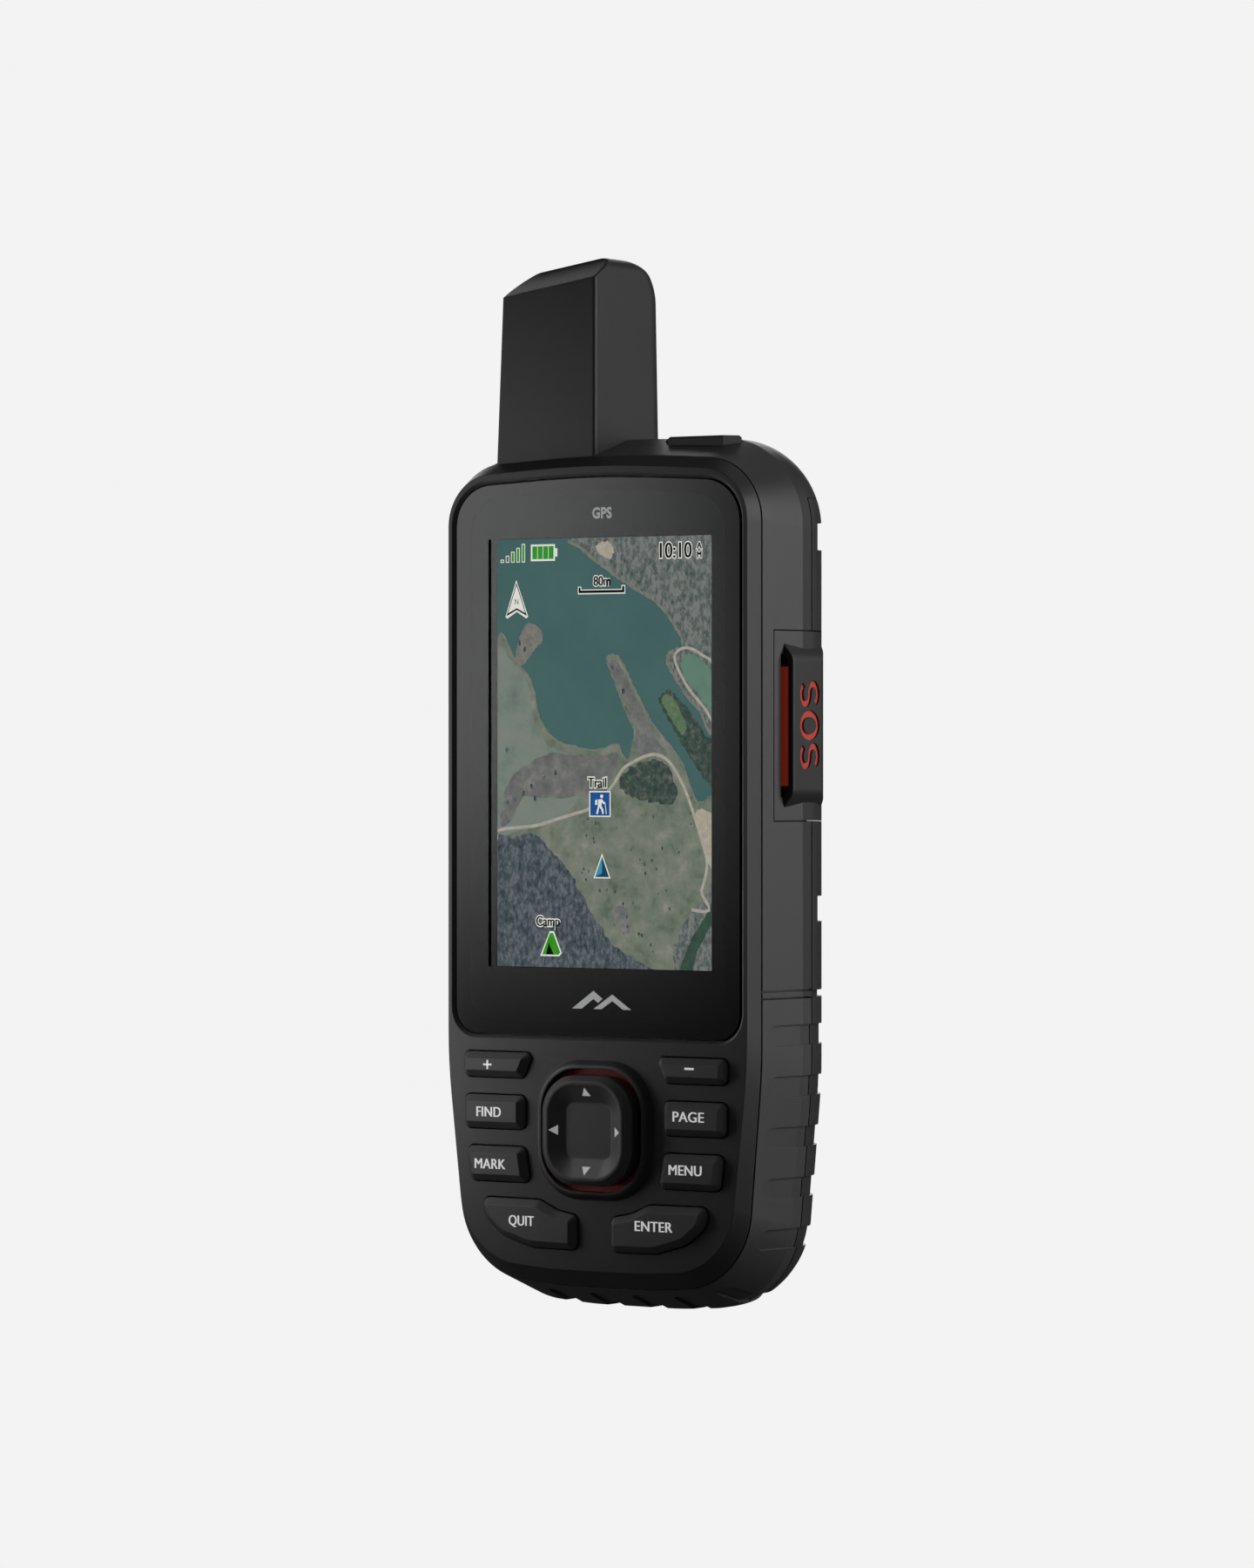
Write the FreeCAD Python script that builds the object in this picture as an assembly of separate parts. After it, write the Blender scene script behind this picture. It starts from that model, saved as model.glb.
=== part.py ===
"""Handheld satellite navigator with keypad, stub antenna, guarded emergency button and battery door.

Frame: +Z up along the unit, +X to the right seen from the front, +Y to the rear. The origin lies on the
middle plane, at the centre of the flat strip under the case that the unit stands on. Millimetres.
Depths are given from the front face of the case, backwards: y(depth) turns a depth into a Y coordinate.
"""
import FreeCAD
import Part
import math
import os

Vector = FreeCAD.Vector
PARTS = "parts"

# ---- driving dimensions: depths from the front face --------------------------------------------------
FRONT_Y = -13.35           # Y of the front face
PARTING = 2.5              # seam between the front shell and the middle housing
WIDEST = 12.0              # the sides slope outwards as far as this
REAR_SEAM = 14.6           # seam between the middle housing and the rear cover or battery door
BACK_ROUND = 14.7          # the rounded rear edge starts here
BACK = 24.5                # flat back of the case
SPINE_TOP = 31.7           # outer face of the mounting spine
SEAM = 0.25                # gap left at each visible seam
DOOR_SEAM = 0.08           # gap between the battery door and the rear cover
FIT = 0.15                 # gap round a piece that moves or drops in

# ---- driving dimensions: walls and heights -----------------------------------------------------------
PLATE = 1.6                # thickness of the front plate
TONGUE = 3.0               # the front shell's inner frame reaches back to here
MID_WALL = 2.4             # side wall of the middle housing
COVER_WALL = 2.0           # wall of the rear cover and battery door
DIVIDER = (9.2, 10.4)      # plate between the electronics and the rear bays
TOP_BLOCK_Z = 125.5        # the middle housing is full depth above this
BULKHEAD_Z = (74.9, 76.8)  # rib between the battery and the modem
DOOR_TOP_Z = 75.8          # seam between the battery door and the rear cover
UNIT_TOP_Z = 163.4         # tip of the antenna

# ---- case outline at three depths: half of it, (x, z, corner radius) from the top middle --------------
FACE_OUTLINE = [(0, 130.9, 200), (27.7, 129.3, 8), (27.7, 38, 90), (24.3, 7.5, 11.5), (8, 6.3, 60)]
SEAM_OUTLINE = [(0, 132.6, 200), (28.85, 131.0, 10), (28.85, 38, 90), (26.0, 4.7, 13), (8, 3.6, 60)]
WIDE_OUTLINE = [(0, 135.25, 300), (30.25, 134.5, 14), (30.25, 36, 80), (27.2, 1.3, 15), (8, 0, 60)]
BACK_RADIUS = BACK - BACK_ROUND

# ---- display -----------------------------------------------------------------------------------------
LENS_OUTLINE = [(0, 129.1, 200), (26.35, 127.8, 6.5), (26.35, 42.5, 4)]
LENS_FRONT = 0.25
LENS_BACK = 1.85
LENS_GAP = 0.2
LENS_CHAMFER = 0.5
GASKET_BACK = 2.05
MODULE_HALF_W = 22.6
MODULE_Z = (48.5, 122.2)
GLASS = (2.3, 3.3)
CARRIER = (3.3, 5.0)
BOARD = (5.2, 6.4)
BOARD_HALF_W = 21.0
BOARD_Z = (9.5, 120.5)

# ---- keypad: right-hand outlines (x, z, corner radius); left-hand keys mirror them --------------------
KEY_OUTLINES = {
    "zoom": [(11.4, 39.7, 0.9), (24.4, 39.7, 1.0), (24.3, 35.8, 1.0), (13.2, 35.8, 1.0)],
    "upper": [(12.9, 33.0, 1.0), (24.3, 33.0, 1.0), (24.2, 27.8, 1.0), (12.9, 27.8, 1.0)],
    "lower": [(12.9, 25.0, 1.0), (23.8, 25.0, 1.0), (23.1, 19.6, 1.1), (12.0, 19.6, 1.0)],
    "corner": [(3.2, 14.75, 1.0), (6.8, 15.4, 3.0), (10.2, 16.95, 2.0), (21.3, 17.0, 1.2), (20.2, 13.8, 3.0),
               (17.0, 11.2, 4.0), (11.5, 9.6, 5.0), (3.2, 9.5, 1.2)],
}
KEYS = {
    "zoom_in_key": ("zoom", -1), "zoom_out_key": ("zoom", 1),
    "find_key": ("upper", -1), "page_key": ("upper", 1),
    "mark_key": ("lower", -1), "menu_key": ("lower", 1),
    "quit_key": ("corner", -1), "enter_key": ("corner", 1),
}
KEY_TOP = -1.35            # the key's flat top stands proud of the face
KEY_SHOULDER = -0.3        # the bevel starts here
KEY_BEVEL = 1.05
KEY_CLEARANCE = 0.2
FLANGE = (1.75, 2.35)
FLANGE_LIP = 0.6
NUB_R = 1.2
NUB_END = 4.2
MAT = (2.85, 3.55)
DOME_FRONT = 4.65
DOME_SHEET = (5.0, 5.2)
DOME_R = 2.1

# ---- thumb pad: rounded rectangles as (half width, half height, corner radius) ------------------------
PAD_Z = 28.1
COLLAR_TOP = -1.25
COLLAR = (10.9, 10.95, 8.0)
PAD_HOLE = (9.25, 9.5, 6.6)
PAD_SKIRT = (8.3, 8.5, 6.0)
PAD_RIM = (7.5, 8.0, 5.5)
PAD_DISH = (6.7, 7.2, 4.8)
PAD_FLOOR = (4.2, 4.3, 1.4)
PAD_TOP = -3.3
PAD_DISH_DEPTH = 1.5
PAD_UNDERSIDE = 0.15
RING = (0.95, 1.55)
RING_OUTER = (9.8, 10.05, 7.1)
RING_INNER = (7.2, 7.4, 5.0)
GIMBAL = (3.7, 4.7)
GIMBAL_R = (4.6, 5.8)
YOKE_R = 7.6
PIVOT = 4.2
PIVOT_R = 0.35

# ---- antenna -----------------------------------------------------------------------------------------
ANTENNA_BASE = (-20.75, -1.95, 2.8, 24.1)    # x and depth at the foot
ANTENNA_HEAD = (-19.3, -1.9, 2.8, 22.9)      # x and depth at the tip
ANTENNA_FOOT_Z = 127.4
ANTENNA_WALL = 1.5
ANTENNA_SLOPE = 0.15
ANTENNA_CHAMFER = (5.5, 3.3)   # depth and height of the chamfer over the front
ANTENNA_ROUND = (3.0, 2.2, 6.5)   # rounding of the head's left, right and rear edges
ANTENNA_CORNER = 4.5           # upright rear corners
ANTENNA_AXIS = (-11.3, 12.6)
HELIX_R = 5.3

# ---- power button ------------------------------------------------------------------------------------
POWER_X = (6.0, 19.8)
POWER_DEPTH = (8.5, 13.5)
POWER_TOP = 135.2
POWER_FLANGE = (129.15, 130.05)
TOP_BAY = (1.0, 20.9, 7.4, 18.5, 127.4, 130.2)

# ---- emergency button bay on the right side ----------------------------------------------------------
BAY_Z = (75.8, 105.1)
BAY_DEPTH = (5.2, 20.1)
BAY_FLOOR_X = 26.3
BAY_BLOCK_X = 24.8
HINGE = (28.05, 18.4)      # x and depth of the cover's hinge
HINGE_R = 1.35
HINGE_PIN_R = 0.6
KNUCKLE_Z = (84.0, 97.1)
COVER_THICK = 1.1
HOOD = [(31.35, 101.0, 2.2), (31.35, 80.0, 2.2), (28.7, 76.9, 2.4), (26.0, 76.9, 0.2), (26.0, 104.1, 0.2),
        (28.7, 104.1, 2.4)]
HOOD_DEPTH = (7.5, 18.4)
HOOD_HOLLOW = [(30.45, 100.3, 1.6), (30.45, 80.7, 1.6), (27.9, 77.6, 1.2), (20.0, 77.6, 0.2),
               (20.0, 103.4, 0.2), (27.9, 103.4, 1.2)]
HOLLOW_DEPTH = (6.9, 15.4)
LEGEND_CENTRES = (95.3, 90.5, 85.8)
LEGEND_DEPTH = (9.5, 15.1)
LEGEND_STROKE = 1.0

# ---- grip slots and other marks on the outer form -----------------------------------------------------
SLOT_DEPTH = 0.45
SLOT_HEIGHT = 3.1
SLOT_PITCH = 7.82
SLOT_FIRST_Z = 43.15
SLOT_COUNT = 5
SLOT_FRONT = 4.2
GRIP_TOP_Z = 48.95
GRIP_THICK = 1.2
BRIDGE = 0.85              # strip of housing left between the two grip seams
REAR_NOTCHES = ((117.5, 121.8), (60.4, 64.3))

# ---- battery door latch and ring ----------------------------------------------------------------------
LATCH_Z = 16.5
POCKET_R = 8.8
POCKET_FLOOR = BACK - 3.2
RING_AXIS = 22.85
D_RING_R = 7.0
D_WIRE_R = 0.8
LATCH_BOSS_R = 6.8

# ---- battery, modem, port, screws ---------------------------------------------------------------------
BATTERY = (23.0, 28.0, 73.0, 10.7, 20.6)
MODEM = (17.0, 80.0, 120.0)
PORT_Z = (87.2, 95.2)
CAP_Z = (84.0, 99.0)
CAP_DEPTH = (5.6, 12.4)
CAP_FLOOR_X = -27.0
CASE_SCREWS = [(24.4, 44.8), (-24.4, 44.8), (24.4, 112.0), (-24.4, 112.0)]
COVER_SCREWS = [(17.5, 82.0), (-17.5, 82.0), (17.5, 120.5), (-17.5, 120.5)]
SPINE_SCREWS = [(0, 84.0), (0, 112.0)]
SPINE_Z = (79.5, 116.5)


# ---- helpers -----------------------------------------------------------------------------------------
def y(depth):
    """Y coordinate of a depth behind the front face."""
    return FRONT_Y + depth


def mirrored(half):
    """A closed outline from its right-hand half, which starts at the top and ends at the bottom."""
    other = [(-px, pz, r) for px, pz, r in reversed(half) if px > 0]
    return list(half) + other


def inset(points, d):
    """The outline moved inwards by d (outwards if d is negative), with its radii to match."""
    n = len(points)
    pairs = [(points[i], points[(i + 1) % n]) for i in range(n)]
    area = sum(p[0] * q[1] - q[0] * p[1] for p, q in pairs)
    side = 1 if area > 0 else -1
    moved = []
    for i, (px, pz, r) in enumerate(points):
        ax, az = px - points[i - 1][0], pz - points[i - 1][1]
        bx, bz = points[(i + 1) % n][0] - px, points[(i + 1) % n][1] - pz
        la, lb = math.hypot(ax, az), math.hypot(bx, bz)
        ax, az, bx, bz = ax / la, az / la, bx / lb, bz / lb
        nx, nz = -(az + bz) * side, (ax + bx) * side
        length = math.hypot(nx, nz)
        nx, nz = nx / length, nz / length
        reach = d / max(0.3, -az * side * nx + ax * side * nz)
        convex = (ax * bz - az * bx) * side > 0
        moved.append((px + nx * reach, pz + nz * reach, max(0.05, r - d if convex else r + d)))
    return moved


def outline_wire(points, depth):
    """A closed wire of lines and tangent arcs, upright at a depth, from corners (x, z, radius)."""
    n = len(points)
    corners = []
    for i, (px, pz, r) in enumerate(points):
        p = Vector(px, y(depth), pz)
        a = Vector(points[i - 1][0], y(depth), points[i - 1][1]) - p
        b = Vector(points[(i + 1) % n][0], y(depth), points[(i + 1) % n][1]) - p
        a.normalize()
        b.normalize()
        half = a.getAngle(b) / 2
        reach = r / math.tan(half)
        start, end = p + a * reach, p + b * reach
        to_centre = (a + b).normalize()
        middle = p + to_centre * (r / math.sin(half) - r)
        corners.append((start, middle, end))
    edges = []
    for i, (start, middle, end) in enumerate(corners):
        edges.append(Part.Arc(start, middle, end).toShape())
        following = corners[(i + 1) % n][0]
        edges.append(Part.LineSegment(end, following).toShape())
    return Part.Wire(edges)


def prism(points, depth_a, depth_b):
    """The outline extruded from one depth to another."""
    face = Part.Face(outline_wire(points, depth_a))
    return face.extrude(Vector(0, depth_b - depth_a, 0))


def ruled(points_a, depth_a, points_b, depth_b):
    """A straight-sided loft between two outlines with the same number of corners."""
    return Part.makeLoft([outline_wire(points_a, depth_a), outline_wire(points_b, depth_b)], True, True)


def box(x_range, depth_range, z_range):
    """A block between two values of x, depth and z."""
    return Part.makeBox(x_range[1] - x_range[0], depth_range[1] - depth_range[0], z_range[1] - z_range[0],
                        Vector(x_range[0], y(depth_range[0]), z_range[0]))


def rod_y(radius, px, pz, depth_a, depth_b):
    """A round bar from front to back."""
    return Part.makeCylinder(radius, depth_b - depth_a, Vector(px, y(depth_a), pz), Vector(0, 1, 0))


def rod_x(radius, depth, pz, x_a, x_b):
    """A round bar from left to right."""
    return Part.makeCylinder(radius, x_b - x_a, Vector(x_a, y(depth), pz), Vector(1, 0, 0))


def rod_z(radius, px, depth, z_a, z_b):
    """An upright round bar."""
    return Part.makeCylinder(radius, z_b - z_a, Vector(px, y(depth), z_a), Vector(0, 0, 1))


def pad_outline(size):
    """A rounded rectangle round the thumb pad's centre, from (half width, half height, radius)."""
    half_w, half_h, r = size
    return [(half_w, PAD_Z + half_h, r), (half_w, PAD_Z - half_h, r), (-half_w, PAD_Z - half_h, r),
            (-half_w, PAD_Z + half_h, r)]


def rounded_block(half_w, z_range, centre_x, r, depth_range):
    """A block with rounded upright-plane corners."""
    z0, z1 = z_range
    points = [(centre_x + half_w, z1, r), (centre_x + half_w, z0, r), (centre_x - half_w, z0, r),
              (centre_x - half_w, z1, r)]
    return prism(points, *depth_range)


def join(first, *others):
    """The union of solids, with coplanar faces merged."""
    return first.fuse(list(others)).removeSplitter()


def cut(shape, *tools):
    """The shape with every tool taken away."""
    return shape.cut(list(tools))


def export(name, shape):
    """Writes the solids of a shape as one node."""
    solids = shape.Solids
    if not solids:
        raise ValueError(name + " has no solid")
    body = solids[0] if len(solids) == 1 else Part.makeCompound(solids)
    if not body.isValid():
        raise ValueError(name + " is not valid")
    body.exportStep(os.path.join(PARTS, name + ".step"))
    print(name, len(solids), round(sum(s.Volume for s in solids), 1))


# ---- the case's outer form -----------------------------------------------------------------------------
def envelope(d=0.0):
    """The whole case's outer form, moved inwards by d."""
    face = inset(mirrored(FACE_OUTLINE), d)
    seam = inset(mirrored(SEAM_OUTLINE), d)
    wide = inset(mirrored(WIDE_OUTLINE), d)
    front = ruled(face, d, seam, PARTING)
    middle = ruled(seam, PARTING, wide, WIDEST)
    rear = prism(wide, WIDEST, BACK - d)
    back_edges = [e for e in rear.Edges if all(abs(v.Y - y(BACK - d)) < 1e-6 for v in e.Vertexes)]
    rear = rear.makeFillet(BACK_RADIUS - d, back_edges)
    return front.fuse([middle, rear])


def band(d):
    """The outer skin of the case, d thick."""
    return envelope().cut(envelope(d))


# ---- front shell and display ---------------------------------------------------------------------------
def front_housing(case):
    """Front shell: plate, lens seat, key wells, thumb pad collar and screw bosses."""
    shell = case.common(box((-40, 40), (-1, PARTING - SEAM / 2), (-5, 140)))
    collar = ruled(pad_outline(COLLAR), 0.2, inset(pad_outline(COLLAR), 0.95), COLLAR_TOP)
    crest = [e for e in collar.Edges if e.BoundBox.YMax < y(COLLAR_TOP) + 1e-6]
    collar = collar.makeFillet(0.6, crest)
    tongue = prism(inset(mirrored(SEAM_OUTLINE), MID_WALL + 0.2), PARTING - SEAM / 2, TONGUE)
    tongue = tongue.common(box((-40, 40), (0, TONGUE), (41.5, TOP_BLOCK_Z - 0.3)))
    shell = join(shell, collar, tongue)
    hollow = prism(inset(mirrored(SEAM_OUTLINE), MID_WALL + 0.2), PLATE, PARTING)
    hollow = hollow.common(box((-40, 40), (PLATE, TONGUE), (0, 40.9)))
    well = inset(mirrored(LENS_OUTLINE), -LENS_GAP)
    rim = ruled(inset(well, -LENS_CHAMFER - 0.1), -0.1, well, LENS_CHAMFER)
    lens_well = prism(well, -1, GASKET_BACK).fuse(rim)
    window = box((-MODULE_HALF_W - 0.3, MODULE_HALF_W + 0.3), (1, 5), (MODULE_Z[0] - 0.3, MODULE_Z[1] + 0.3))
    pad_hole = prism(pad_outline(PAD_HOLE), -4, 4)
    ring_seat = prism(inset(pad_outline(RING_OUTER), -0.05), RING[0], 2)
    wells = []
    for kind, side in KEYS.values():
        wells.append(prism(inset(key_outline(kind, side), -KEY_CLEARANCE), -2, 2))
    bosses = [rod_y(1.7, px, pz, TONGUE - 0.5, DIVIDER[0]) for px, pz in CASE_SCREWS]
    shell = shell.fuse(bosses)
    bores = [rod_y(0.6, px, pz, TONGUE, DIVIDER[0] + 1) for px, pz in CASE_SCREWS]
    return cut(shell, hollow, lens_well, window, pad_hole, ring_seat, *(wells + bores))


def lens_solid():
    """Display window with a small bevel round its face."""
    bevel = 0.45
    outline = mirrored(LENS_OUTLINE)
    face = ruled(inset(outline, bevel), LENS_FRONT, outline, LENS_FRONT + bevel)
    return face.fuse(prism(outline, LENS_FRONT + bevel, LENS_BACK)).removeSplitter()


def frame_between(outer, inner, depth_range):
    """A flat frame between two outlines."""
    a, b = depth_range
    return prism(outer, a, b).cut(prism(inner, a - 1, b + 1))


def rectangle(half_w, z_range, r):
    """A rounded rectangle outline on the middle plane."""
    low, high = z_range
    return [(half_w, high, r), (half_w, low, r), (-half_w, low, r), (-half_w, high, r)]


# ---- keys ----------------------------------------------------------------------------------------------
def key_outline(kind, side):
    """The outline of a key; side -1 mirrors it to the left."""
    points = KEY_OUTLINES[kind]
    if side > 0:
        return list(points)
    return [(-px, pz, r) for px, pz, r in reversed(points)]


def key_centre(kind, side):
    """The middle of a key's extent."""
    points = KEY_OUTLINES[kind]
    xs = [p[0] for p in points]
    zs = [p[1] for p in points]
    return side * (min(xs) + max(xs)) / 2, (min(zs) + max(zs)) / 2


def key_solid(kind, side):
    """A key: bevelled cap, straight shank, flange under the plate and a nub over its dome."""
    outline = key_outline(kind, side)
    top = ruled(inset(outline, KEY_BEVEL), KEY_TOP, outline, KEY_SHOULDER)
    shank = prism(outline, KEY_SHOULDER, FLANGE[0])
    flange = prism(inset(outline, -FLANGE_LIP), *FLANGE)
    px, pz = key_centre(kind, side)
    return join(top, shank, flange, rod_y(NUB_R, px, pz, FLANGE[1], NUB_END))


def keypad_mat():
    """Rubber sheet under the keys, with a hole round each nub and round the thumb pad."""
    outline = inset(mirrored(SEAM_OUTLINE), MID_WALL + 0.6)
    sheet = prism(outline, *MAT).common(box((-40, 40), MAT, (0, 41.0)))
    holes = [rod_y(NUB_R + 0.3, *key_centre(kind, side), 2, 5) for kind, side in KEYS.values()]
    centre = rod_y(YOKE_R + 0.9, 0, PAD_Z, 2, 5)
    return cut(sheet, centre, *holes)


def domes():
    """Metal snap domes under the keys."""
    made = []
    for kind, side in KEYS.values():
        px, pz = key_centre(kind, side)
        cone = Part.makeCone(DOME_R - 0.8, DOME_R - 0.1, DOME_SHEET[0] - DOME_FRONT,
                             Vector(px, y(DOME_FRONT), pz), Vector(0, 1, 0))
        made.append(cone)
    return Part.makeCompound(made)


def dome_sheet():
    """Film that carries the domes on the board."""
    sheet = box((-20.5, 20.5), DOME_SHEET, (10.0, 41.0))
    return cut(sheet, rod_y(YOKE_R + 0.5, 0, PAD_Z, 4, 6))


# ---- thumb pad -----------------------------------------------------------------------------------------
def thumb_pad():
    """Four-way thumb pad: dished cap, skirt, hollow stem and the two pivots it tilts left and right on."""
    half = (PAD_TOP + COLLAR_TOP) / 2
    cap = ruled(inset(pad_outline(PAD_RIM), 0.35), PAD_TOP, pad_outline(PAD_RIM), PAD_TOP + 0.4)
    wall = ruled(pad_outline(PAD_RIM), PAD_TOP + 0.4, pad_outline(PAD_SKIRT), half)
    skirt = prism(pad_outline(PAD_SKIRT), half, PAD_UNDERSIDE)
    stem = rod_y(4.0, 0, PAD_Z, PAD_UNDERSIDE, GIMBAL[1] - 0.1)
    dish = ruled(pad_outline(PAD_DISH), PAD_TOP, pad_outline(PAD_FLOOR), PAD_TOP + PAD_DISH_DEPTH)
    lead = prism(pad_outline(PAD_DISH), PAD_TOP - 1, PAD_TOP)
    pins = rod_z(PIVOT_R, 0, PIVOT, PAD_Z - GIMBAL_R[0] - 0.9, PAD_Z + GIMBAL_R[0] + 0.9)
    pad = join(cap, wall, skirt, stem, pins)
    return cut(pad, dish, lead)


def pad_gimbal():
    """Ring that the pad tilts in; it tilts up and down in the yoke."""
    a, b = GIMBAL
    ring = rod_y(GIMBAL_R[1], 0, PAD_Z, a, b).cut(rod_y(GIMBAL_R[0], 0, PAD_Z, a - 1, b + 1))
    ring = ring.cut(rod_z(PIVOT_R + 0.05, 0, PIVOT, PAD_Z - 9, PAD_Z + 9))
    right = rod_x(PIVOT_R, PIVOT, PAD_Z, GIMBAL_R[1] - 0.3, YOKE_R - 0.3)
    left = rod_x(PIVOT_R, PIVOT, PAD_Z, -YOKE_R + 0.3, -GIMBAL_R[1] + 0.3)
    return join(ring, right, left)


def pad_yoke():
    """Fixed ring on the board that holds the gimbal's pivots."""
    a, b = GIMBAL[0] - 0.2, BOARD[0]
    ring = rod_y(YOKE_R, 0, PAD_Z, a, b).cut(rod_y(GIMBAL_R[1] + 0.35, 0, PAD_Z, a - 1, b + 1))
    return ring.cut(rod_x(PIVOT_R + 0.05, PIVOT, PAD_Z, -9, 9))


# ---- middle housing ------------------------------------------------------------------------------------
def slot_cutters():
    """Grip slots: rows down both sides, round the lower corners and along the underside."""
    skin = band(SLOT_DEPTH)
    half = SLOT_HEIGHT / 2
    cutters = []
    for i in range(SLOT_COUNT):
        pz = SLOT_FIRST_Z - i * SLOT_PITCH
        front = SLOT_FRONT + 0.25 * i
        bar = box((10, 40), (front + half, 30), (pz - half, pz + half)).fuse(
            rod_x(half, front + half, pz, 10, 40))
        cutters.append(skin.common(bar))
    for px, pz, turn in ((19.5, 4.0, 62), (11.9, 1.0, 84), (4.0, 0.5, 90)):
        bar = box((-8, 8), (SLOT_FRONT + 1.5 + half, 30), (-half, half)).fuse(
            rod_x(half, SLOT_FRONT + 1.5 + half, 0, -8, 8))
        bar.rotate(Vector(0, 0, 0), Vector(0, 1, 0), turn)
        bar.translate(Vector(px, 0, pz))
        cutters.append(skin.common(bar))
    mirror = [c.mirror(Vector(0, 0, 0), Vector(1, 0, 0)) for c in cutters]
    return cutters + mirror


def bay_box(grow=0.0):
    """The emergency button's bay, as a cutter."""
    return box((BAY_FLOOR_X - grow, 40), (BAY_DEPTH[0] - grow, BAY_DEPTH[1] + grow),
               (BAY_Z[0] - grow, BAY_Z[1] + grow))


def middle_housing(case, core):
    """Middle housing: side band, divider, top block, bulkhead, emergency bay and bosses."""
    front, rear = PARTING + SEAM / 2, REAR_SEAM - SEAM / 2
    body = case.common(box((-40, 40), (front, rear), (-5, 140)))
    top = case.common(box((-40, 40), (front, BACK + 1), (TOP_BLOCK_Z, 140)))
    body = join(body, top)
    front_bay = prism(inset(mirrored(SEAM_OUTLINE), MID_WALL), 0, DIVIDER[0])
    front_bay = front_bay.common(box((-40, 40), (0, 20), (0, TOP_BLOCK_Z - 0.1)))
    rear_bay = prism(inset(mirrored(WIDE_OUTLINE), MID_WALL), DIVIDER[1], BACK + 1)
    rear_bay = rear_bay.common(box((-40, 40), (0, 40), (0, TOP_BLOCK_Z - 2.0)))
    body = cut(body, front_bay, rear_bay)
    x0, x1, d0, d1, z0, z1 = TOP_BAY
    block = core.common(box((BAY_BLOCK_X, 40), (BAY_DEPTH[0] - 1.2, BAY_DEPTH[1] + 0.9),
                            (BAY_Z[0] - 1.2, BAY_Z[1] + 1.2)))
    port = box((-28, CAP_FLOOR_X + 2.2), (CAP_DEPTH[0] - 1.2, CAP_DEPTH[1] + 1.2),
               (CAP_Z[0] - 1.2, CAP_Z[1] + 1.2))
    bulkhead = core.common(box((-40, 40), (DIVIDER[1] - 0.5, BACK - 3.0), BULKHEAD_Z))
    latch_boss = rod_y(LATCH_BOSS_R, 0, LATCH_Z, DIVIDER[0] + 0.2, 18.8)
    pillars = [rod_y(2.4, px, pz, DIVIDER[0] + 0.2, BACK - 3.6) for px, pz in COVER_SCREWS]
    body = body.fuse([block, port, bulkhead, latch_boss] + pillars)
    cutters = [
        box((x0, x1), (d0, d1), (z0, z1)),
        bay_box(),
        power_outline_solid(0.2, TOP_BAY[5] - 1.0, 140.0),
        box((-50, CAP_FLOOR_X), (CAP_DEPTH[0] - FIT, CAP_DEPTH[1] + FIT), (CAP_Z[0] - FIT, CAP_Z[1] + FIT)),
        box((-40, -20), (6.4, 9.15), (PORT_Z[0] - 0.2, PORT_Z[1] + 0.2)),
        antenna_foot_cutter(),
        rod_y(2.55, 0, LATCH_Z, 12.0, 30),
        rod_y(5.6, 0, LATCH_Z, 12.0, 14.0),
        box((-5.6, 5.6), (13, 30), (LATCH_Z - 1.2, LATCH_Z + 1.2)),
        rod_x(1.6, 11.6, 90.5, 20, 30),
        box((20, BAY_BLOCK_X), (9.0, 14.5), (86.5, 94.5)),
        rod_y(1.2, ANTENNA_AXIS[0], 123.0, 5, 30),
        rod_z(1.2, ANTENNA_AXIS[0], 12.6, 121, 140),
    ]
    cutters += [rod_y(0.9, px, pz, 5, 12) for px, pz in CASE_SCREWS]
    cutters += [rod_y(0.9, px, pz, 12, 30) for px, pz in COVER_SCREWS]
    body = cut(body, *cutters)
    knuckle = rod_z(HINGE_R, *HINGE, KNUCKLE_Z[0] + FIT, KNUCKLE_Z[1] - FIT)
    web = box((BAY_FLOOR_X - 0.4, HINGE[0]), (HINGE[1] - 0.9, HINGE[1] + 1.2),
              (KNUCKLE_Z[0] + FIT, KNUCKLE_Z[1] - FIT))
    body = body.fuse([knuckle, web])
    body = cut(body, rod_z(HINGE_PIN_R, *HINGE, KNUCKLE_Z[0] - 1, KNUCKLE_Z[1] + 1))
    groove_z = (GRIP_TOP_Z + BRIDGE, GRIP_TOP_Z + BRIDGE + SEAM)
    groove = band(0.5).common(box((-40, 40), (front - 1, 30), groove_z))
    return cut(body, groove, grip_region(0.0))


def grip_region(seam):
    """The band that the lower grip fills: down one side, under the case and up the other."""
    front, rear = PARTING + SEAM / 2, REAR_SEAM - SEAM / 2
    depths = (front - 1 + seam, rear + 1 - seam)
    return band(GRIP_THICK).common(box((-40, 40), depths, (-5, GRIP_TOP_Z - seam)))


def lower_grip(slots):
    """Rubber grip round the lower half of the case, with its slots."""
    front, rear = PARTING + SEAM / 2, REAR_SEAM - SEAM / 2
    grip = band(GRIP_THICK).common(box((-40, 40), (front, rear), (-5, GRIP_TOP_Z - SEAM)))
    return cut(grip, *slots)


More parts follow.
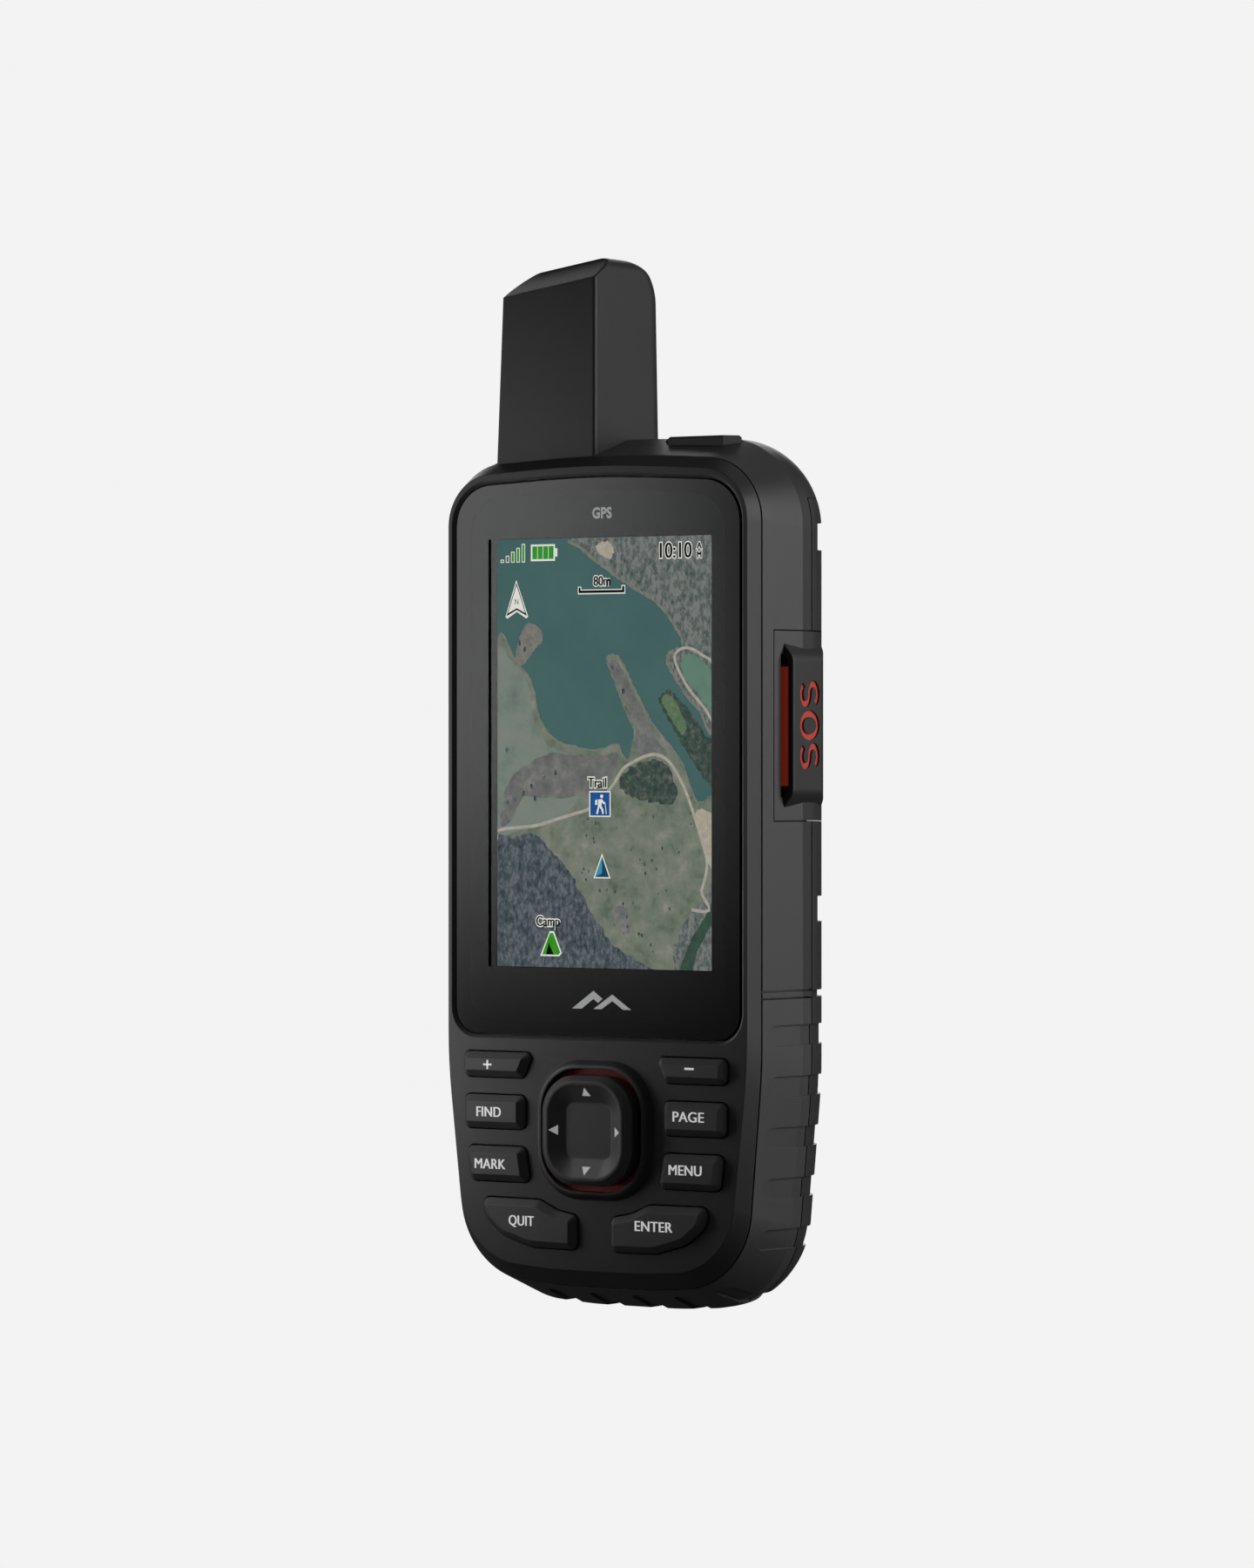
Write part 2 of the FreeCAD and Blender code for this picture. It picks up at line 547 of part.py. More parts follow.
# ---- power button --------------------------------------------------------------------------------------
def power_outline_solid(grow, z0, z1):
    """The power button's pointed outline as an upright prism."""
    x0, x1 = POWER_X
    d0, d1 = POWER_DEPTH
    middle = (d0 + d1) / 2
    half = (d1 - d0) / 2 + grow
    tip = 1.9
    points = [(x0 - grow, middle), (x0 + tip - grow / 2, middle - half), (x1 - tip + grow / 2, middle - half),
              (x1 + grow, middle), (x1 - tip + grow / 2, middle + half), (x0 + tip - grow / 2, middle + half)]
    corners = [Vector(px, y(depth), z0) for px, depth in points]
    wire = Part.makePolygon(corners + corners[:1])
    return Part.Face(wire).extrude(Vector(0, 0, z1 - z0))


def power_button():
    """Power button: pointed cap, flange under the case's top wall and a short stem."""
    cap = power_outline_solid(0.0, POWER_FLANGE[0], POWER_TOP)
    top_edges = [e for e in cap.Edges if all(abs(v.Z - POWER_TOP) < 1e-6 for v in e.Vertexes)]
    cap = cap.makeChamfer(0.35, top_edges)
    flange = power_outline_solid(0.7, *POWER_FLANGE)
    x_mid = sum(POWER_X) / 2
    stem = rod_z(1.2, x_mid, sum(POWER_DEPTH) / 2, POWER_FLANGE[0] - 0.15, POWER_FLANGE[0])
    return join(cap, flange, stem)


# ---- antenna -------------------------------------------------------------------------------------------
def antenna_section(bounds, z, slope, radii):
    """A closed wire: a rectangle in plan with rounded corners, in a plane that climbs to the right.
    z is the height at the right end."""
    x0, x1, d0, d1 = bounds
    front_r, rear_r = radii
    corners = [(x0, d0, front_r), (x1, d0, front_r), (x1, d1, rear_r), (x0, d1, rear_r)]
    spots = [Vector(px, y(depth), z + slope * (px - x1)) for px, depth, r in corners]
    ends = []
    for i, (px, depth, r) in enumerate(corners):
        back = (spots[i - 1] - spots[i]).normalize()
        ahead = (spots[(i + 1) % 4] - spots[i]).normalize()
        ends.append((spots[i] + back * r, spots[i] + (back + ahead) * (r * (1 - math.sqrt(0.5))),
                     spots[i] + ahead * r))
    edges = []
    for i, (start, middle, end) in enumerate(ends):
        edges.append(Part.Arc(start, middle, end).toShape())
        edges.append(Part.LineSegment(end, ends[(i + 1) % 4][0]).toShape())
    return Part.Wire(edges)


def rounding(drop, r):
    """How far a rounded edge of radius r has moved inwards at a given drop below the top."""
    if drop >= r:
        return 0.0
    return r - math.sqrt(r * r - (r - drop) ** 2)


def antenna_slice(drop, inward):
    """The antenna's section at a drop below its crest: tapering walls, front chamfer, rounded edges."""
    z = UNIT_TOP_Z - inward - drop
    taper = (z - ANTENNA_FOOT_Z) / (UNIT_TOP_Z - ANTENNA_FOOT_Z)
    x0, x1, d0, d1 = [low + (high - low) * taper for low, high in zip(ANTENNA_BASE, ANTENNA_HEAD)]
    left_r, right_r, rear_r = [max(0.3, r - inward) for r in ANTENNA_ROUND]
    run, rise = ANTENNA_CHAMFER
    front = run * max(0.0, 1 - drop / rise)
    bounds = (x0 + inward + rounding(drop, left_r), x1 - inward - rounding(drop, right_r),
              d0 + inward + front, d1 - inward - rounding(drop, rear_r))
    radii = (max(0.2, 0.5 - inward), max(0.8, ANTENNA_CORNER - inward))
    return antenna_section(bounds, z, ANTENNA_SLOPE, radii)


def antenna_form(inward=0.0):
    """The antenna's outer form, moved inwards."""
    x0, x1, d0, d1 = ANTENNA_BASE
    radii = (max(0.2, 0.5 - inward), max(0.8, ANTENNA_CORNER - inward))
    foot_bounds = (x0 + inward, x1 - inward, d0 + inward, d1 - inward)
    foot = antenna_section(foot_bounds, ANTENNA_FOOT_Z + inward, 0, radii)
    shoulder = ANTENNA_ROUND[2]
    rise = ANTENNA_CHAMFER[1]
    walls = Part.makeLoft([foot, antenna_slice(shoulder, inward)], True, True)
    neck = Part.makeLoft([antenna_slice(drop, inward) for drop in (shoulder, 5.6, 4.4, rise)], True, False)
    drops = (rise, 2.4, 1.6, 0.95, 0.45, 0.12, 0.0)
    head = Part.makeLoft([antenna_slice(drop, inward) for drop in drops], True, False)
    return walls.fuse([neck, head]).removeSplitter()


def antenna_foot_cutter():
    """The pocket in the case's top that the antenna stands in."""
    x0, x1, d0, d1 = ANTENNA_BASE
    bounds = (x0 - 0.12, x1 + 0.12, d0 - 0.12, d1 + 0.12)
    floor = antenna_section(bounds, ANTENNA_FOOT_Z - 0.05, 0, (0.5, ANTENNA_CORNER))
    form = Part.Face(floor).extrude(Vector(0, 0, 25))
    front = box((x0 - 0.12, x1 + 0.12), (0, 6), (ANTENNA_FOOT_Z - 0.05, 150))
    return form.fuse(front)


def antenna_housing():
    """Hollow antenna cover, closed at the foot but for the cable hole."""
    outer = antenna_form()
    cavity = antenna_form(ANTENNA_WALL)
    return cut(outer, cavity, rod_z(1.2, *ANTENNA_AXIS, ANTENNA_FOOT_Z - 1, ANTENNA_FOOT_Z + 3))


def antenna_helix():
    """Copper winding round the former."""
    helix = Part.makeHelix(7.5, 22.5, HELIX_R)
    profile = Part.Wire(Part.Circle(Vector(HELIX_R, 0, 0), Vector(0, 1, 0), 0.4).toShape())
    pipe = Part.Wire(helix).makePipeShell([profile], True, True)
    pipe.translate(Vector(ANTENNA_AXIS[0], y(ANTENNA_AXIS[1]), 130.6))
    return pipe


# ---- emergency button ----------------------------------------------------------------------------------
def hood_plan():
    """The hood's shape in plan, as a tall prism that trims its rear end round."""
    def at(px, depth):
        return Vector(px, y(depth), 70)

    front_in, front_out = at(24.0, HOOD_DEPTH[0]), at(31.35, HOOD_DEPTH[0])
    bend, rear_out, rear_in = at(31.35, 14.6), at(29.2, HOOD_DEPTH[1]), at(24.0, HOOD_DEPTH[1])
    curves = [Part.LineSegment(front_in, front_out), Part.LineSegment(front_out, bend),
              Part.Arc(bend, at(30.9, 16.9), rear_out), Part.LineSegment(rear_out, rear_in),
              Part.LineSegment(rear_in, front_in)]
    return Part.Face(Part.Wire([c.toShape() for c in curves])).extrude(Vector(0, 0, 40))


def letter_s():
    """An S stroke as a flat face in its own plane: right is +X, up is +Z, centred on the origin."""
    height = LEGEND_DEPTH[1] - LEGEND_DEPTH[0]
    rx, rz = 1.55, (height - LEGEND_STROKE) / 4
    centre, normal = [], []
    steps = 9
    for i in range(steps):
        t = math.radians(25 + i * (270 - 25) / steps)
        centre.append((rx * math.cos(t), rz + rz * math.sin(t)))
    for i in range(steps + 1):
        t = math.radians(90 - i * (270 - 25) / steps)
        centre.append((rx * math.cos(t), -rz + rz * math.sin(t)))
    last = len(centre) - 1
    for i in range(last + 1):
        a, b = centre[max(0, i - 1)], centre[min(last, i + 1)]
        length = math.hypot(b[0] - a[0], b[1] - a[1])
        normal.append((-(b[1] - a[1]) / length, (b[0] - a[0]) / length))
    half = LEGEND_STROKE / 2
    sides = []
    for sign in (1, -1):
        curve = Part.BSplineCurve()
        curve.interpolate([Vector(c[0] + sign * half * n[0], 0, c[1] + sign * half * n[1])
                           for c, n in zip(centre, normal)])
        sides.append(curve)
    starts = [s.StartPoint for s in sides]
    ends = [s.EndPoint for s in sides]
    edges = [sides[0].toShape(), Part.LineSegment(ends[0], ends[1]).toShape(), sides[1].toShape(),
             Part.LineSegment(starts[1], starts[0]).toShape()]
    return Part.Face(Part.Wire(Part.__sortEdges__(edges)))


def letter_o():
    """An O ring as a flat face in its own plane."""
    height = LEGEND_DEPTH[1] - LEGEND_DEPTH[0]
    outer = Part.Ellipse(Vector(0, 0, height / 2), Vector(2.3, 0, 0), Vector(0, 0, 0)).toShape()
    inner = Part.Ellipse(Vector(0, 0, height / 2 - LEGEND_STROKE), Vector(2.3 - LEGEND_STROKE, 0, 0),
                         Vector(0, 0, 0)).toShape()
    return Part.Face(Part.Wire(outer)).cut(Part.Face(Part.Wire(inner)))


def legend(x_from, x_to):
    """The three letters on the hood, read with the unit turned on its side."""
    made = []
    middle = sum(LEGEND_DEPTH) / 2
    for letter, pz in zip((letter_s(), letter_o(), letter_s()), LEGEND_CENTRES):
        letter.rotate(Vector(0, 0, 0), Vector(0, 0, 1), 90)
        letter.rotate(Vector(0, 0, 0), Vector(1, 0, 0), -90)
        letter.translate(Vector(x_from, y(middle), pz))
        made += letter.extrude(Vector(x_to - x_from, 0, 0)).Solids
    return Part.makeCompound(made)


def sos_cover(case):
    """Hinged guard: a flush plate with an arched hood open to the front, hinged at its rear edge."""
    gap = FIT
    region = box((BAY_FLOOR_X, 40), (BAY_DEPTH[0] + gap, HINGE[1]), (BAY_Z[0] + gap, BAY_Z[1] - gap))
    plate = case.common(region).cut(envelope(COVER_THICK))
    hood = prism(HOOD, *HOOD_DEPTH).common(hood_plan())
    arris = [e for e in hood.Edges if e.BoundBox.YMax < y(HOOD_DEPTH[0]) + 1e-6 and e.BoundBox.XMax > 29.0]
    hood = hood.makeFillet(0.3, arris)
    knuckles = [rod_z(HINGE_R, *HINGE, BAY_Z[0] + gap, KNUCKLE_Z[0]),
                rod_z(HINGE_R, *HINGE, KNUCKLE_Z[1], BAY_Z[1] - gap)]
    cover = plate.fuse([hood] + knuckles)
    hollow = prism(HOOD_HOLLOW, *HOLLOW_DEPTH)
    inside = box((BAY_FLOOR_X - 1, 28.05), (0, HINGE[1] - HINGE_R), (70, 110))
    floor_gap = box((BAY_FLOOR_X - 1, HINGE[0] - HINGE_R), (0, 30), (70, 110))
    room = rod_z(HINGE_R + 0.2, *HINGE, *KNUCKLE_Z)
    web = box((20, HINGE[0]), (HINGE[1] - 1.1, 30), KNUCKLE_Z)
    bore = rod_z(HINGE_PIN_R + 0.05, *HINGE, 70, 110)
    return cut(cover, hollow, inside, floor_gap, room, web, bore, legend(30.8, 33.0))


def sos_button():
    """Red emergency button with a stem to its switch."""
    cap = box((26.95, 30.1), (7.7, 14.9), (81.25, 99.5))
    edges = [e for e in cap.Edges if e.BoundBox.XMin > 30.05]
    cap = cap.makeFillet(0.4, edges)
    return join(cap, rod_x(1.3, 11.6, 90.5, 25.2, 27.2))


# ---- rear cover, battery door, spine -------------------------------------------------------------------
def rear_shell(case, core_inner, z_range, slots):
    """A length of the case's rear: side walls and back."""
    region = box((-40, 40), (REAR_SEAM + SEAM / 2, BACK + 1), z_range)
    shell = case.common(region).cut(core_inner)
    skin = band(0.7)
    notches = [skin.common(box((10, 40), (16.6, 23.0), zs)) for zs in REAR_NOTCHES]
    notches += [n.mirror(Vector(0, 0, 0), Vector(1, 0, 0)) for n in notches]
    bridge = skin.common(box((-40, 40), (10, 30), (GRIP_TOP_Z - 0.1, GRIP_TOP_Z + BRIDGE + 0.1)))
    bay = box((BAY_BLOCK_X - 0.2, 40), (0, BAY_DEPTH[1]), (BAY_Z[0] - 0.01, BAY_Z[1] + 0.01))
    bay_inner = box((BAY_BLOCK_X - 0.2, 28.0), (0, BAY_DEPTH[1] + 1.05), (BAY_Z[0] - 1.4, BAY_Z[1] + 1.4))
    return cut(shell, bridge, bay, bay_inner, *(notches + slots))


def rear_cover(case, core_inner):
    """Upper rear cover with recessed screw heads."""
    shell = rear_shell(case, core_inner, (DOOR_TOP_Z + DOOR_SEAM / 2, TOP_BLOCK_Z - SEAM / 2), [])
    seats = [rod_y(3.2, px, pz, BACK - 3.5, BACK - 1) for px, pz in COVER_SCREWS]
    shell = shell.fuse([s.common(envelope(0.5)) for s in seats])
    bores = [rod_y(1.05, px, pz, 15, 30) for px, pz in COVER_SCREWS]
    bores += [rod_y(2.0, px, pz, BACK - 2.0, 30) for px, pz in COVER_SCREWS]
    bores += [rod_y(0.9, px, pz, 20, 30) for px, pz in SPINE_SCREWS]
    return cut(shell, *bores)


def battery_door(case, core_inner, slots):
    """Lower rear door with the latch pocket."""
    door = rear_shell(case, core_inner, (-5, DOOR_TOP_Z - DOOR_SEAM / 2), slots)
    boss = rod_y(POCKET_R + 1.4, 0, LATCH_Z, POCKET_FLOOR - 1.8, BACK - 0.5).common(envelope(0.5))
    door = door.fuse(boss)
    pocket = rod_y(POCKET_R, 0, LATCH_Z, POCKET_FLOOR, BACK + 1)
    return cut(door, pocket, rod_y(2.55, 0, LATCH_Z, 15, 30))


def battery_latch():
    """Quarter-turn latch: disc with a lug for the ring, stem and cross bar."""
    disc = rod_y(5.4, 0, LATCH_Z, POCKET_FLOOR + 0.1, POCKET_FLOOR + 0.6)
    stem = rod_y(2.45, 0, LATCH_Z, 12.2, POCKET_FLOOR + 0.3)
    bar = box((-1.0, 1.0), (12.2, 13.8), (LATCH_Z - 5.2, LATCH_Z + 5.2))
    lug = box((-3.0, 3.0), (POCKET_FLOOR + 0.3, RING_AXIS), (LATCH_Z - 1.4, LATCH_Z + 1.4))
    lug = lug.fuse(rod_x(1.4, RING_AXIS, LATCH_Z, -3.0, 3.0))
    return cut(join(disc, stem, bar, lug), rod_x(D_WIRE_R + 0.05, RING_AXIS, LATCH_Z, -5, 5))


def d_ring():
    """Folding wire ring: a half circle closed by the bar it turns on."""
    arc = Part.makeTorus(D_RING_R, D_WIRE_R, Vector(0, y(RING_AXIS), LATCH_Z), Vector(0, 1, 0))
    upper = arc.common(box((-20, 20), (10, 40), (LATCH_Z, LATCH_Z + 20)))
    bar = rod_x(D_WIRE_R, RING_AXIS, LATCH_Z, -D_RING_R, D_RING_R)
    ends = [Part.makeSphere(D_WIRE_R, Vector(side * D_RING_R, y(RING_AXIS), LATCH_Z)) for side in (-1, 1)]
    return upper.fuse([bar] + ends)


def spine_mount():
    """Mounting spine: a T-shaped rail with a stop at its upper end."""
    neck = box((-5.0, 5.0), (BACK, SPINE_TOP - 2.4), SPINE_Z)
    foot = rounded_block(8.5, (SPINE_Z[0] - 2.0, SPINE_Z[1] + 2.0), 0, 4.0, (BACK, BACK + 1.6))
    head = rounded_block(8.0, SPINE_Z, 0, 1.2, (SPINE_TOP - 2.4, SPINE_TOP))
    stop = rounded_block(8.0, (SPINE_Z[1] - 3.0, SPINE_Z[1]), 0, 1.0, (BACK, SPINE_TOP))
    rail = join(neck, foot, head, stop)
    bores = [rod_y(0.9, px, pz, 20, 40) for px, pz in SPINE_SCREWS]
    bores += [rod_y(1.9, px, pz, SPINE_TOP - 3.0, 40) for px, pz in SPINE_SCREWS]
    return cut(rail, *bores)


def screw(px, pz, head_depth, tip_depth, head_r, shank_r):
    """A pan-head screw driven from the rear, with a six-lobe recess left as a round one."""
    head = rod_y(head_r, px, pz, head_depth, head_depth + 1.1)
    shank = rod_y(shank_r, px, pz, tip_depth, head_depth)
    return cut(head.fuse(shank), rod_y(head_r * 0.45, px, pz, head_depth + 0.4, head_depth + 2))


# ---- side port -----------------------------------------------------------------------------------------
def usb_cap(case):
    """Rubber flap over the port, flush with the left side, hinged at its lower end."""
    flap = case.common(box((-40, CAP_FLOOR_X - 1.6), CAP_DEPTH, CAP_Z))
    nail = rod_y(1.6, -31.2, CAP_Z[1], 6, 12)
    plug = box((CAP_FLOOR_X - 1.8, CAP_FLOOR_X + 1.4), (7.0, 8.6), (PORT_Z[0] + 0.9, PORT_Z[1] - 0.9))
    return cut(flap, nail).fuse(plug).removeSplitter()


def usb_port():
    """Metal shell of the port on the board, with its tongue."""
    shell = box((CAP_FLOOR_X + 0.2, -20.2), (6.45, 9.1), PORT_Z)
    mouth = box((-30, -21.0), (6.75, 8.8), (PORT_Z[0] + 0.3, PORT_Z[1] - 0.3))
    return cut(shell, mouth)


def main():
    """Builds every piece and writes it."""
    os.makedirs(PARTS, exist_ok=True)
    case = envelope()
    core = envelope(COVER_WALL + 0.2)
    core_inner = envelope(COVER_WALL)
    slots = slot_cutters()

    export("front_housing", front_housing(case))
    export("middle_housing", middle_housing(case, core))
    export("lower_grip", lower_grip(slots))
    export("rear_cover", rear_cover(case, core_inner))
    export("battery_door", battery_door(case, core_inner, slots))

    export("display_lens", lens_solid())
    export("lens_gasket", frame_between(mirrored(LENS_OUTLINE), inset(mirrored(LENS_OUTLINE), 1.4),
                                        (LENS_BACK, GASKET_BACK)))
    export("display_panel", prism(rectangle(MODULE_HALF_W, MODULE_Z, 0.8), *GLASS))
    export("display_carrier", prism(rectangle(MODULE_HALF_W, MODULE_Z, 0.8), *CARRIER))

    for name, (kind, side) in KEYS.items():
        export(name, key_solid(kind, side))
    export("keypad_mat", keypad_mat())
    export("snap_domes", domes())
    export("dome_sheet", dome_sheet())
    export("thumb_pad", thumb_pad())
    export("pad_gimbal", pad_gimbal())
    export("pad_yoke", pad_yoke())
    export("pad_ring", frame_between(pad_outline(RING_OUTER), pad_outline(RING_INNER), RING))

    export("power_button", power_button())
    export("power_switch", box((9.5, 15.4), (8.9, 13.1), (TOP_BAY[4], 128.55)))
    export("antenna_housing", antenna_housing())
    export("antenna_former", rod_z(4.6, *ANTENNA_AXIS, ANTENNA_FOOT_Z + 1.5, 154.5).cut(
        rod_z(1.4, *ANTENNA_AXIS, ANTENNA_FOOT_Z, 156)))
    export("antenna_helix", antenna_helix())
    export("antenna_cable", rod_z(0.7, *ANTENNA_AXIS, 119.0, 131.5))

    export("sos_cover", sos_cover(case))
    export("sos_legend", legend(30.8, 31.05))
    export("sos_button", sos_button())
    export("sos_hinge_pin", rod_z(HINGE_PIN_R, *HINGE, BAY_Z[0] + 0.4, BAY_Z[1] - 0.4))
    export("sos_switch", box((23.0, 24.6), (10.0, 13.2), (88.0, 93.0)))

    board = box((-BOARD_HALF_W, BOARD_HALF_W), BOARD, BOARD_Z)
    export("main_board", board)
    half_w, z0, z1, d0, d1 = BATTERY
    export("battery_pack", rounded_block(half_w, (z0, z1), 0, 3.0, (d0, d1)))
    contacts = [box((px - 0.6, px + 0.6), (12.0, 15.0), (z1 + 0.1, BULKHEAD_Z[0])) for px in (-6, -2, 2, 6)]
    export("battery_contacts", Part.makeCompound(contacts))
    export("battery_latch", battery_latch())
    export("d_ring", d_ring())
    export("modem_module", rounded_block(MODEM[0], (MODEM[1] + 5, MODEM[2] - 4), 0, 1.0, (10.4, 16.5)))
    cans = [box((-16, 2), (6.4, 8.6), (52, 80)), box((5, 17), (6.4, 8.2), (58, 78)),
            box((-10, 12), (6.4, 8.4), (98, 114))]
    export("shield_cans", Part.makeCompound(cans))
    export("buzzer", rod_y(5.5, 9.0, 45.0, 6.4, 8.8))
    export("card_socket", box((-17.0, -3.0), (6.4, 7.9), (30.0, 45.0)))
    export("usb_port", usb_port())
    export("usb_cap", usb_cap(case))

    export("spine_mount", spine_mount())
    spine_screws = [screw(px, pz, SPINE_TOP - 3.0, BACK - 1.4, 1.7, 0.85) for px, pz in SPINE_SCREWS]
    export("spine_screws", Part.makeCompound(spine_screws))
    cover_screws = [screw(px, pz, BACK - 2.0, 15.0, 1.75, 0.85) for px, pz in COVER_SCREWS]
    export("cover_screws", Part.makeCompound(cover_screws))
    case_screws = [screw(px, pz, DIVIDER[1], 4.5, 1.35, 0.55) for px, pz in CASE_SCREWS]
    export("case_screws", Part.makeCompound(case_screws))


main()
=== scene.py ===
import bpy
import bmesh
import math
import random
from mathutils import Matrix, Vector


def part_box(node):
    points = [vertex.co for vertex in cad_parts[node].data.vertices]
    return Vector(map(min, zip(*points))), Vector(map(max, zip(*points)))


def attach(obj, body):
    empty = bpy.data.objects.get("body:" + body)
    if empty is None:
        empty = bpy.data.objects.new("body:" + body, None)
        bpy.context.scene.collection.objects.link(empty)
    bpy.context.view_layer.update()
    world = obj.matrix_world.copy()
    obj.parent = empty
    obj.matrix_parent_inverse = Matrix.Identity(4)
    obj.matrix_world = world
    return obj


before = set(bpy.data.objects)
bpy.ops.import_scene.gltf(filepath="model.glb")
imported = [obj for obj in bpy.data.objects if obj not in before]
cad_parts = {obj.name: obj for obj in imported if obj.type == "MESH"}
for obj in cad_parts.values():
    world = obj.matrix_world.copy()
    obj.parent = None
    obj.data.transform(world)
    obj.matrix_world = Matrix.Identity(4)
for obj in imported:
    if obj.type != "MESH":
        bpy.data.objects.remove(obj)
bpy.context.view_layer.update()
scene = bpy.context.scene
MM = 0.001


def mm(x, y, z):
    return Vector((x * MM, y * MM, z * MM))


# ---- positions taken from the frame --------------------------------------------------------------
FACE_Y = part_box("front_housing")[1][1] / MM - 9.2        # front face of the case
PANEL_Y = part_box("display_panel")[0][1] / MM
LENS_LOW, LENS_HIGH = [[c / MM for c in corner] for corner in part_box("display_lens")]


# ---- node helpers --------------------------------------------------------------------------------
def new_material(name):
    mat = bpy.data.materials.new(name)
    mat.use_nodes = True
    tree = mat.node_tree
    return mat, tree, tree.nodes["Principled BSDF"]


def add(tree, kind, **values):
    node = tree.nodes.new(kind)
    for key, value in values.items():
        if hasattr(node, key):
            setattr(node, key, value)
        else:
            node.inputs[key.replace("_", " ")].default_value = value
    return node


def noise(tree, scale, detail=3.0, rough=0.6, stretch=None):
    coords = add(tree, "ShaderNodeTexCoord")
    node = add(tree, "ShaderNodeTexNoise")
    node.inputs["Scale"].default_value = scale
    node.inputs["Detail"].default_value = detail
    node.inputs["Roughness"].default_value = rough
    source = coords.outputs["Object"]
    if stretch:
        mapping = add(tree, "ShaderNodeMapping")
        mapping.inputs["Scale"].default_value = stretch
        tree.links.new(source, mapping.inputs["Vector"])
        source = mapping.outputs["Vector"]
    tree.links.new(source, node.inputs["Vector"])
    return node


def ramp(tree, source, stops):
    node = add(tree, "ShaderNodeValToRGB")
    elements = node.color_ramp.elements
    while len(elements) < len(stops):
        elements.new(0.5)
    for element, (place, colour) in zip(elements, stops):
        element.position = place
        element.color = (*colour, 1.0)
    tree.links.new(source, node.inputs["Fac"])
    return node


def spread(tree, source, low, high):
    node = add(tree, "ShaderNodeMapRange")
    node.inputs["To Min"].default_value = low
    node.inputs["To Max"].default_value = high
    tree.links.new(source, node.inputs["Value"])
    return node.outputs["Result"]


def grey(v):
    return (v, v, v)


def moulded(name, colour, roughness=(0.4, 0.52), grain=9000.0, bump=0.12, edge=0.00025, wear=1.25,
            specular=0.5, mottle=0.08, distance=0.00002):
    """Moulded plastic or rubber: fine grain, faint mottling, softened and slightly polished edges."""
    mat, tree, shader = new_material(name)
    link = tree.links.new
    large = noise(tree, 60.0, 4.0)
    fine = noise(tree, grain, 2.0, 0.5)
    mid = noise(tree, 900.0, 4.0)
    low = tuple(c * (1 - mottle) for c in colour)
    high = tuple(c * (1 + mottle) for c in colour)
    tone = ramp(tree, large.outputs["Fac"], [(0.3, low), (0.7, high)])
    pointy = add(tree, "ShaderNodeNewGeometry")
    rub = spread(tree, pointy.outputs["Pointiness"], 0.0, 1.0)
    rub.node.inputs["From Min"].default_value = 0.52
    rub.node.inputs["From Max"].default_value = 0.62
    rub_noise = add(tree, "ShaderNodeMath", operation="MULTIPLY")
    link(rub, rub_noise.inputs[0])
    link(mid.outputs["Fac"], rub_noise.inputs[1])
    mix = add(tree, "ShaderNodeMix", data_type="RGBA")
    link(rub_noise.outputs[0], mix.inputs["Factor"])
    link(tone.outputs["Color"], mix.inputs[6])
    mix.inputs[7].default_value = (*[min(1, c * wear) for c in colour], 1)
    link(mix.outputs[2], shader.inputs["Base Color"])
    link(spread(tree, mid.outputs["Fac"], *roughness), shader.inputs["Roughness"])
    soft = add(tree, "ShaderNodeBevel")
    soft.samples = 4
    soft.inputs["Radius"].default_value = edge
    relief = add(tree, "ShaderNodeBump")
    relief.inputs["Strength"].default_value = bump
    relief.inputs["Distance"].default_value = distance
    link(fine.outputs["Fac"], relief.inputs["Height"])
    link(soft.outputs["Normal"], relief.inputs["Normal"])
    link(relief.outputs["Normal"], shader.inputs["Normal"])
    shader.inputs["Specular IOR Level"].default_value = specular
    return mat


def metal(name, colour, roughness=(0.25, 0.4), brushed=(1, 1, 30)):
    mat, tree, shader = new_material(name)
    link = tree.links.new
    lines = noise(tree, 500.0, 4.0, 0.6, brushed)
    tone = ramp(tree, lines.outputs["Fac"], [(0.3, tuple(c * 0.85 for c in colour)), (0.7, colour)])
    link(tone.outputs["Color"], shader.inputs["Base Color"])
    link(spread(tree, lines.outputs["Fac"], *roughness), shader.inputs["Roughness"])
    relief = add(tree, "ShaderNodeBump")
    relief.inputs["Strength"].default_value = 0.1
    relief.inputs["Distance"].default_value = 0.00002
    link(lines.outputs["Fac"], relief.inputs["Height"])
    link(relief.outputs["Normal"], shader.inputs["Normal"])
    shader.inputs["Metallic"].default_value = 1.0
    return mat


GLOSS_IOR = 1.8      # what lies behind the lens reflects like the lens and its air gap together


def glow(name, stops, scale=400.0, detail=4.0, strength=1.0, stretch=None):
    """A patch of lit display, or of print given a painted glow: noise between the given colours, shown as
    its own light.
    """
    mat, tree, shader = new_material(name)
    mat.cycles.emission_sampling = "NONE"
    grains = noise(tree, scale, detail, 0.65, stretch)
    tone = ramp(tree, grains.outputs["Fac"], stops)
    tree.links.new(tone.outputs["Color"], shader.inputs["Emission Color"])
    shader.inputs["Emission Strength"].default_value = strength
    shader.inputs["Base Color"].default_value = (0.005, 0.005, 0.005, 1)
    tree.links.new(spread(tree, grains.outputs["Fac"], 0.55, 0.7), shader.inputs["Roughness"])
    shader.inputs["Specular IOR Level"].default_value = 0.0
    return mat


def srgb(r, g, b):
    return tuple(((c / 255) / 12.92 if c <= 10 else ((c / 255 + 0.055) / 1.055) ** 2.4)
                 for c in (r, g, b))


